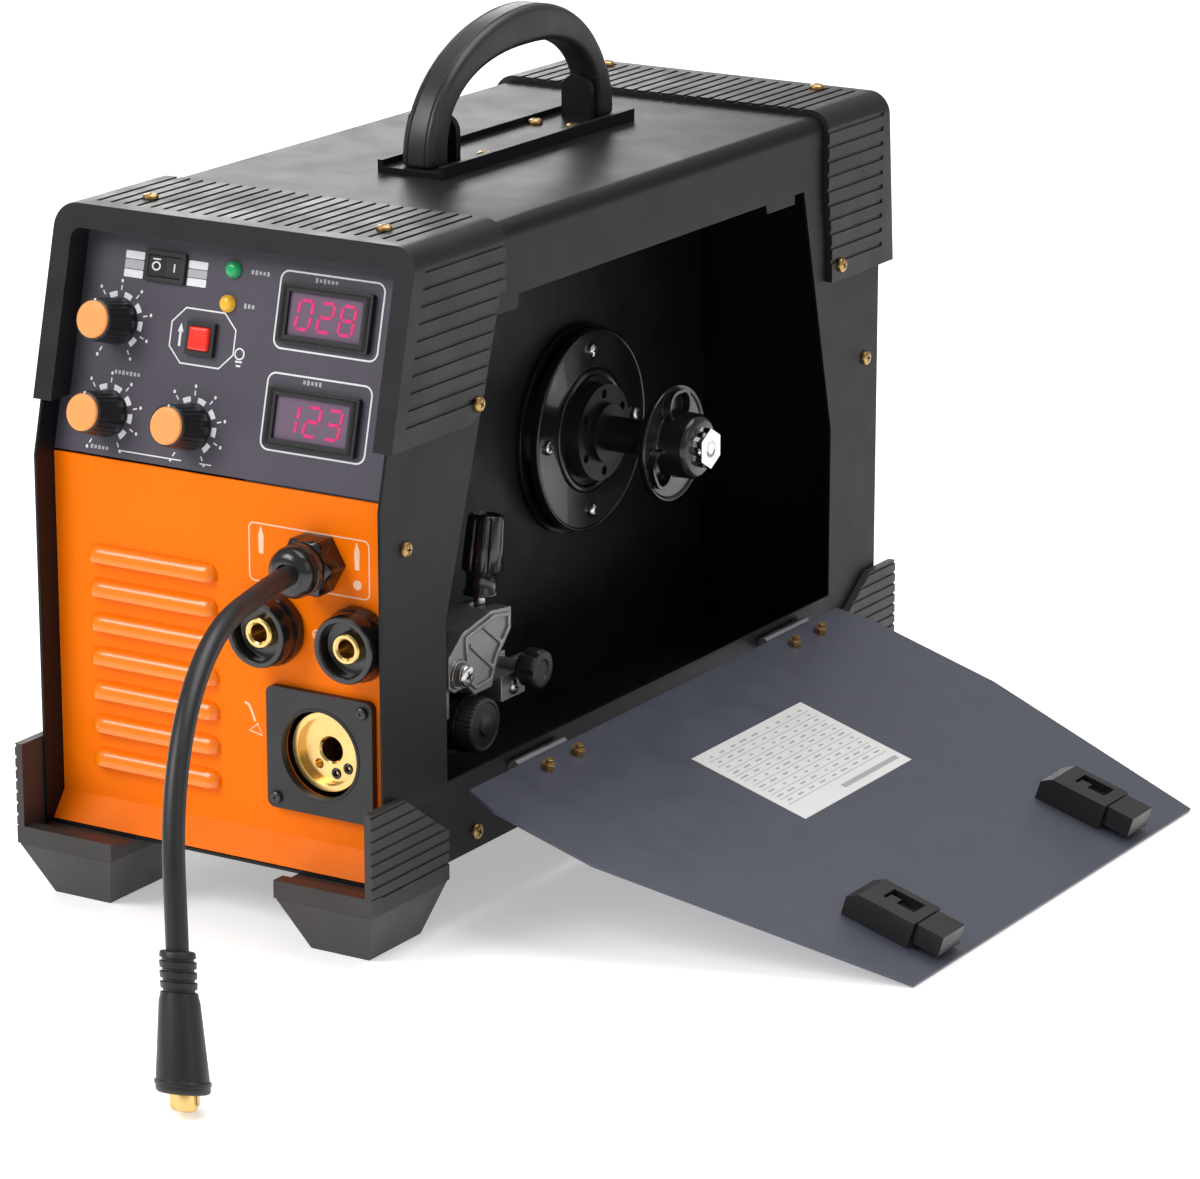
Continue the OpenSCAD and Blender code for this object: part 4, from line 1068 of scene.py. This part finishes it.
def build_screws():
    for node, look, axis, way in SCREW_GROUPS:
        heads = bmesh.new()
        cross = bmesh.new()
        for low_box, high_box in solids(node, case):
            foot = (low_box + high_box) / 2
            side = way or (1 if foot.x > 0 else -1)
            face = high_box[axis] if side > 0 else low_box[axis]
            foot[axis] = face - side * SCREW_HEAD
            out = Vector((0, 0, 0))
            out[axis] = side
            right = Vector((1, 0, 0)) if axis == 1 else Vector((0, 1, 0))
            spot = basis(right, out.cross(right), out, case @ foot)
            width = max(high_box[i] - low_box[i] for i in range(3) if i != axis)
            screw_head(heads, cross, spot, width / 2, SCREW_HEAD)
        piece = make_piece(node + "_heads", heads, look, "case", angle=30)
        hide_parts(node)
        # near-black crosses in the heads: painted shade for the recesses
        make_piece(node + "_recess_shade", cross, "gap_shade_black", "case")


# ---- door

CHART_ROWS = 10
CHART_COLUMNS = 9
CHART_ROW_PITCH = 5.4
CHART_COLUMN_PITCH = 11.4
CHART_MARGIN = 5.0


def build_door_print():
    """Plain blocks and rules in place of the printed chart."""
    (low_box, high_box), = solids("door_chart", door)
    # looking at the inner face of the closed door, right is toward the front
    sheet = door @ Matrix.Translation((0, 0, low_box.z)) @ Matrix.Rotation(math.pi, 4, "Y")
    left = CHART_MARGIN - high_box.x
    right = -low_box.x - CHART_MARGIN
    top = high_box.y
    bm = bmesh.new()
    for row in range(CHART_ROWS):
        rule = top - 13 - CHART_ROW_PITCH * row
        stamp(bm, bar(left, rule, right, rule, 0.35), sheet)
        y = rule - CHART_ROW_PITCH / 2
        for column in range(CHART_COLUMNS):
            x = left + 3 + CHART_COLUMN_PITCH * column
            length = 2.0 + 5.0 * chance.random()
            stamp(bm, bar(x, y, x + length, y, 1.1), sheet)
    stamp(bm, bar(left, top - 6.5, left + 57, top - 6.5, 3.0), sheet)
    make_piece("chart_marks", bm, "grey_print", "door")


# ---- spool holder and feeder


def axis_space(joint):
    """Plate square to a hinge along X: local z runs along +X from the middle of the case."""
    spot = Vector(joints[joint]["pos_m"])
    return door_side(Vector((home.x, spot.y, spot.z)))


def build_spool_holder():
    axis = axis_space("retainer_spin")
    outer_bead = [(52.6, 17.9), (54.8, 17.9), (54.8, 18.3), (54.2, 18.7), (53.2, 18.7), (52.6, 18.3)]
    inner_bead = [(29.5, 17.9), (34.0, 17.9), (34.0, 18.6), (33.2, 19.2), (30.3, 19.2), (29.5, 18.6)]
    bm = bmesh.new()
    turned_ring(bm, outer_bead, axis, 96)
    turned_ring(bm, inner_bead, axis, 80)
    make_piece("drum_beads", bm, "gloss_black_plastic", "case", angle=50)

    section = [
        (7.2, 65.3), (30.8, 65.3), (31.5, 66.0), (31.5, 69.2), (30.8, 69.9), (29.6, 69.8), (28.6, 68.7),
        (21.0, 68.5), (18.6, 69.2), (17.9, 70.5), (17.3, 82.6), (16.2, 85.0), (14.2, 86.0), (7.2, 86.0),
    ]
    bm = bmesh.new()
    turned_ring(bm, section, axis, 80)
    # three raised finger loops
    for i in range(3):
        turn = Matrix.Rotation(math.radians(90 + 120 * i), 4, "Z")
        loop = axis @ turn @ Matrix.Translation((20.5, 0, 0))
        ribbon(bm, rounded_box(0, 0, 16, 20, 7.5, 6), 1.8, 68.2, 73.5, loop, closed=True)
    dish = make_piece("retainer_dish", bm, "gloss_black_plastic", "retainer_body", angle=45)
    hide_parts("spool_retainer")

    bm = bmesh.new()
    hex_nut(bm, axis, 18.8, 86.1, 91.6)
    turned_ring(bm, [(3.0, 91.4), (5.4, 91.4), (5.4, 91.9), (4.8, 92.0), (3.0, 92.0)], axis, 40)
    make_piece("spool_nut_face", bm, "chrome_steel", "case", angle=30)


def build_tension_knob():
    turn = joints["tension_knob_turn"]
    out = Vector(turn["axis"])
    right = Vector((1, 0, 0))
    rod = basis(right, out.cross(right), out, Vector(turn["pos_m"]))
    rings = [
        (4.6, 32.0, 0), (8.3, 32.1, 0), (8.7, 32.6, 0), (8.7, 34.2, 0), (7.8, 35.2, 0),
        (7.8, 42.8, 0), (9.2, 44.2, 0.1), (10.4, 45.4, 1.0), (10.1, 58, 1.2), (9.4, 71, 1.0),
        (9.1, 72.6, 0.2), (8.4, 73.6, 0), (7.4, 73.9, 0), (6.8, 73.2, 0), (6.6, 71.6, 0),
    ]
    bm = bmesh.new()
    fluted(bm, rod, rings, 8)
    body = "tension_knob_body"
    grip = make_piece("tension_grip", bm, "gloss_black_plastic", body, 50)
    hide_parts("tension_knob")

    bm = bmesh.new()
    turned_ring(bm, [(2.2, 71.4), (5.6, 71.4), (5.6, 72.4), (5.0, 72.9), (2.8, 72.9), (2.2, 72.4)], rod, 36)
    make_piece("tension_insert", bm, "chrome_steel", body, 40)


def build_clamp_knob():
    rings = [
        (6.6, 74.1, 0), (7.0, 74.5, 0), (7.0, 76.6, 0), (9.6, 77.2, 0.2), (10.4, 78.2, 1.6),
        (10.3, 85.2, 1.6), (9.6, 86.6, 0.4), (8.2, 87.0, 0), (5.4, 87.0, 0), (4.8, 86.2, 0),
    ]
    bm = bmesh.new()
    fluted(bm, axis_space("clamp_knob_turn"), rings, 6)
    grip = make_piece("clamp_grip", bm, "matte_black_plastic", "clamp_knob_body", angle=50)
    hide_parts("clamp_knob")


def build_drive_roll_cap():
    rings = [
        (13.0, 65.95, 0), (14.1, 66.4, 0.1), (14.2, 67.0, 0.8), (14.2, 74.0, 0.8), (13.7, 75.0, 0.1),
        (12.6, 75.4, 0), (11.9, 75.3, 0), (11.6, 74.9, 0), (5.4, 74.9, 0), (5.0, 76.1, 0), (4.2, 76.4, 0),
    ]
    bm = bmesh.new()
    fluted(bm, axis_space("drive_roll_spin"), rings, 36, sides=216)
    cap = make_piece("drive_roll_grip", bm, "dark_wheel", "drive_roll_body", 50)
    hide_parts("drive_roll_cap")


# outer face of the pressure arm, and the screws of the feeder: along, up, outward, head radius
ARM_FACE = 73.9
FEEDER_SCREWS = ((-135, 112, 79, 5.6), (-81, 91, 72, 4.0), (-141, 91, 66, 3.4))


def build_feeder_casting():
    """Raised rim and web on the outer face of the pressure arm, and the feeder's screws."""
    side = door_side(home)
    rim = [
        (-127, 107), (-119, 101), (-106, 102), (-101, 113),
        (-89, 125), (-89, 132), (-103, 134), (-128, 129),
    ]
    bm = bmesh.new()
    ribbon(bm, rim, 2.2, ARM_FACE, ARM_FACE + 1.4, side, closed=True)
    for web in ([(-124, 124), (-104, 108)], [(-112, 131), (-95, 118)]):
        ribbon(bm, web, 2.0, ARM_FACE, ARM_FACE + 1.1, side)
    make_piece("pressure_arm_rim", bm, "cast_aluminium", "pressure_arm_body", angle=30)

    heads = bmesh.new()
    cross = bmesh.new()
    for y, z, x, radius in FEEDER_SCREWS:
        screw_head(heads, cross, door_side(case @ Vector((x, y, z))), radius, 2.0)
    make_piece("feeder_screw_heads", heads, "bright_steel", "case", 30)
    # near-black crosses in the heads: painted shade for the recesses
    make_piece("feeder_screw_recess_shade", cross, "gap_shade_black", "case")


# ---- CAD nodes get their finish


def dress_cad_nodes():
    slot_of = {part["node"]: part["material_slot"] for part in frame["record"]["subparts"]}
    for name, node in nodes.items():
        # the divider wall and base chassis get a darker black than their record's finish: painted shade inside the
        # case
        look = "inside_shade_black" if name in ("divider_wall", "base_chassis") else slot_of[name]
        node.data.materials.clear()
        node.data.materials.append(finishes[look])
        shade(node.data, 28)


# ---- studio

# metres, and how strongly the floor shines by itself
FLOOR_SIZE = 12.0
FLOOR_GLOW = 0.4
# strength of the white surroundings: what lights the object, and what the camera sees
WORLD_LIGHT = 0.36
WORLD_SEEN = 1.0
# place, width and height in metres, and power in watts; all aim at the middle of the case
SOFTBOX_AIM = Vector((0, 0, 0.2))
SOFTBOXES = {
    "key_softbox": ((-1.1, -2.0, 2.0), 1.4, 1.4, 46),
    "top_softbox": ((0.3, 0.6, 2.4), 2.2, 1.6, 40),
    "door_softbox": ((2.3, -0.4, 1.3), 1.2, 1.2, 4),
    # low behind the machine, so that the top of the case catches a soft reflection
    "back_softbox": ((-2.3, 2.4, 1.35), 1.8, 1.0, 30),
}
# metres from the bench under the case, degrees, and focal length in millimetres
CAMERA_PLACE = (1.4054, -2.1590, 0.8633)
CAMERA_AZIMUTH = 31.665
CAMERA_ELEVATION = 16.283
LENS = 152.9


def build_floor():
    surface("studio_floor", (0.93, 0.93, 0.93), 0.7, tone=0.01, grain=0.02, radius=0.01, level=0.1)
    paper = finishes["studio_floor"]
    shader = paper.node_tree.nodes["Principled BSDF"]
    # a little light of its own keeps the paper pale where it runs away from the lamps
    shader.inputs["Emission Color"].default_value = (1, 1, 1, 1)
    shader.inputs["Emission Strength"].default_value = FLOOR_GLOW
    bm = bmesh.new()
    bmesh.ops.create_grid(bm, x_segments=24, y_segments=24, size=FLOOR_SIZE / 2)
    mesh = bpy.data.meshes.new("studio_floor")
    bm.to_mesh(mesh)
    bm.free()
    mesh.materials.append(paper)
    floor = bpy.data.objects.new("studio_floor", mesh)
    bpy.context.scene.collection.objects.link(floor)


def build_world():
    world = bpy.data.worlds.new("studio")
    world.use_nodes = True
    tree = world.node_tree
    background = tree.nodes["Background"]
    background.inputs["Color"].default_value = (1, 1, 1, 1)
    path = tree.nodes.new("ShaderNodeLightPath")
    level = tree.nodes.new("ShaderNodeMapRange")
    level.inputs["To Min"].default_value = WORLD_LIGHT
    level.inputs["To Max"].default_value = WORLD_SEEN
    tree.links.new(path.outputs["Is Camera Ray"], level.inputs["Value"])
    tree.links.new(level.outputs["Result"], background.inputs["Strength"])
    bpy.context.scene.world = world


def build_lights():
    for name, (place, width, height, power) in SOFTBOXES.items():
        light = bpy.data.lights.new(name, "AREA")
        light.shape = "RECTANGLE"
        light.size = width
        light.size_y = height
        light.energy = power
        lamp = bpy.data.objects.new(name, light)
        lamp.location = home + Vector(place)
        lamp.rotation_euler = (SOFTBOX_AIM - Vector(place)).to_track_quat("-Z", "Y").to_euler()
        bpy.context.scene.collection.objects.link(lamp)


def build_camera():
    lens = bpy.data.cameras.new("camera")
    lens.sensor_fit = "HORIZONTAL"
    lens.sensor_width = 36
    lens.lens = LENS
    lens.clip_end = 50
    camera = bpy.data.objects.new("camera", lens)
    camera.location = home + Vector(CAMERA_PLACE)
    camera.rotation_euler = (math.radians(90 - CAMERA_ELEVATION), 0, math.radians(CAMERA_AZIMUTH))
    bpy.context.scene.collection.objects.link(camera)
    bpy.context.scene.camera = camera


dress_cad_nodes()
build_handle()
build_louvres()
build_panel_print()
build_gland()
build_current_sockets()
build_torch_socket()
build_lead()
for knob in KNOBS:
    build_knob(knob)
build_fascia_print()
build_captions()
build_meters()
build_lamps()
build_rocker_marks()
build_push_button()
build_screws()
build_door_print()
build_spool_holder()
build_tension_knob()
build_clamp_knob()
build_drive_roll_cap()
build_feeder_casting()
build_floor()
build_world()
build_lights()
build_camera()
bpy.context.scene.view_settings.view_transform = "Standard"
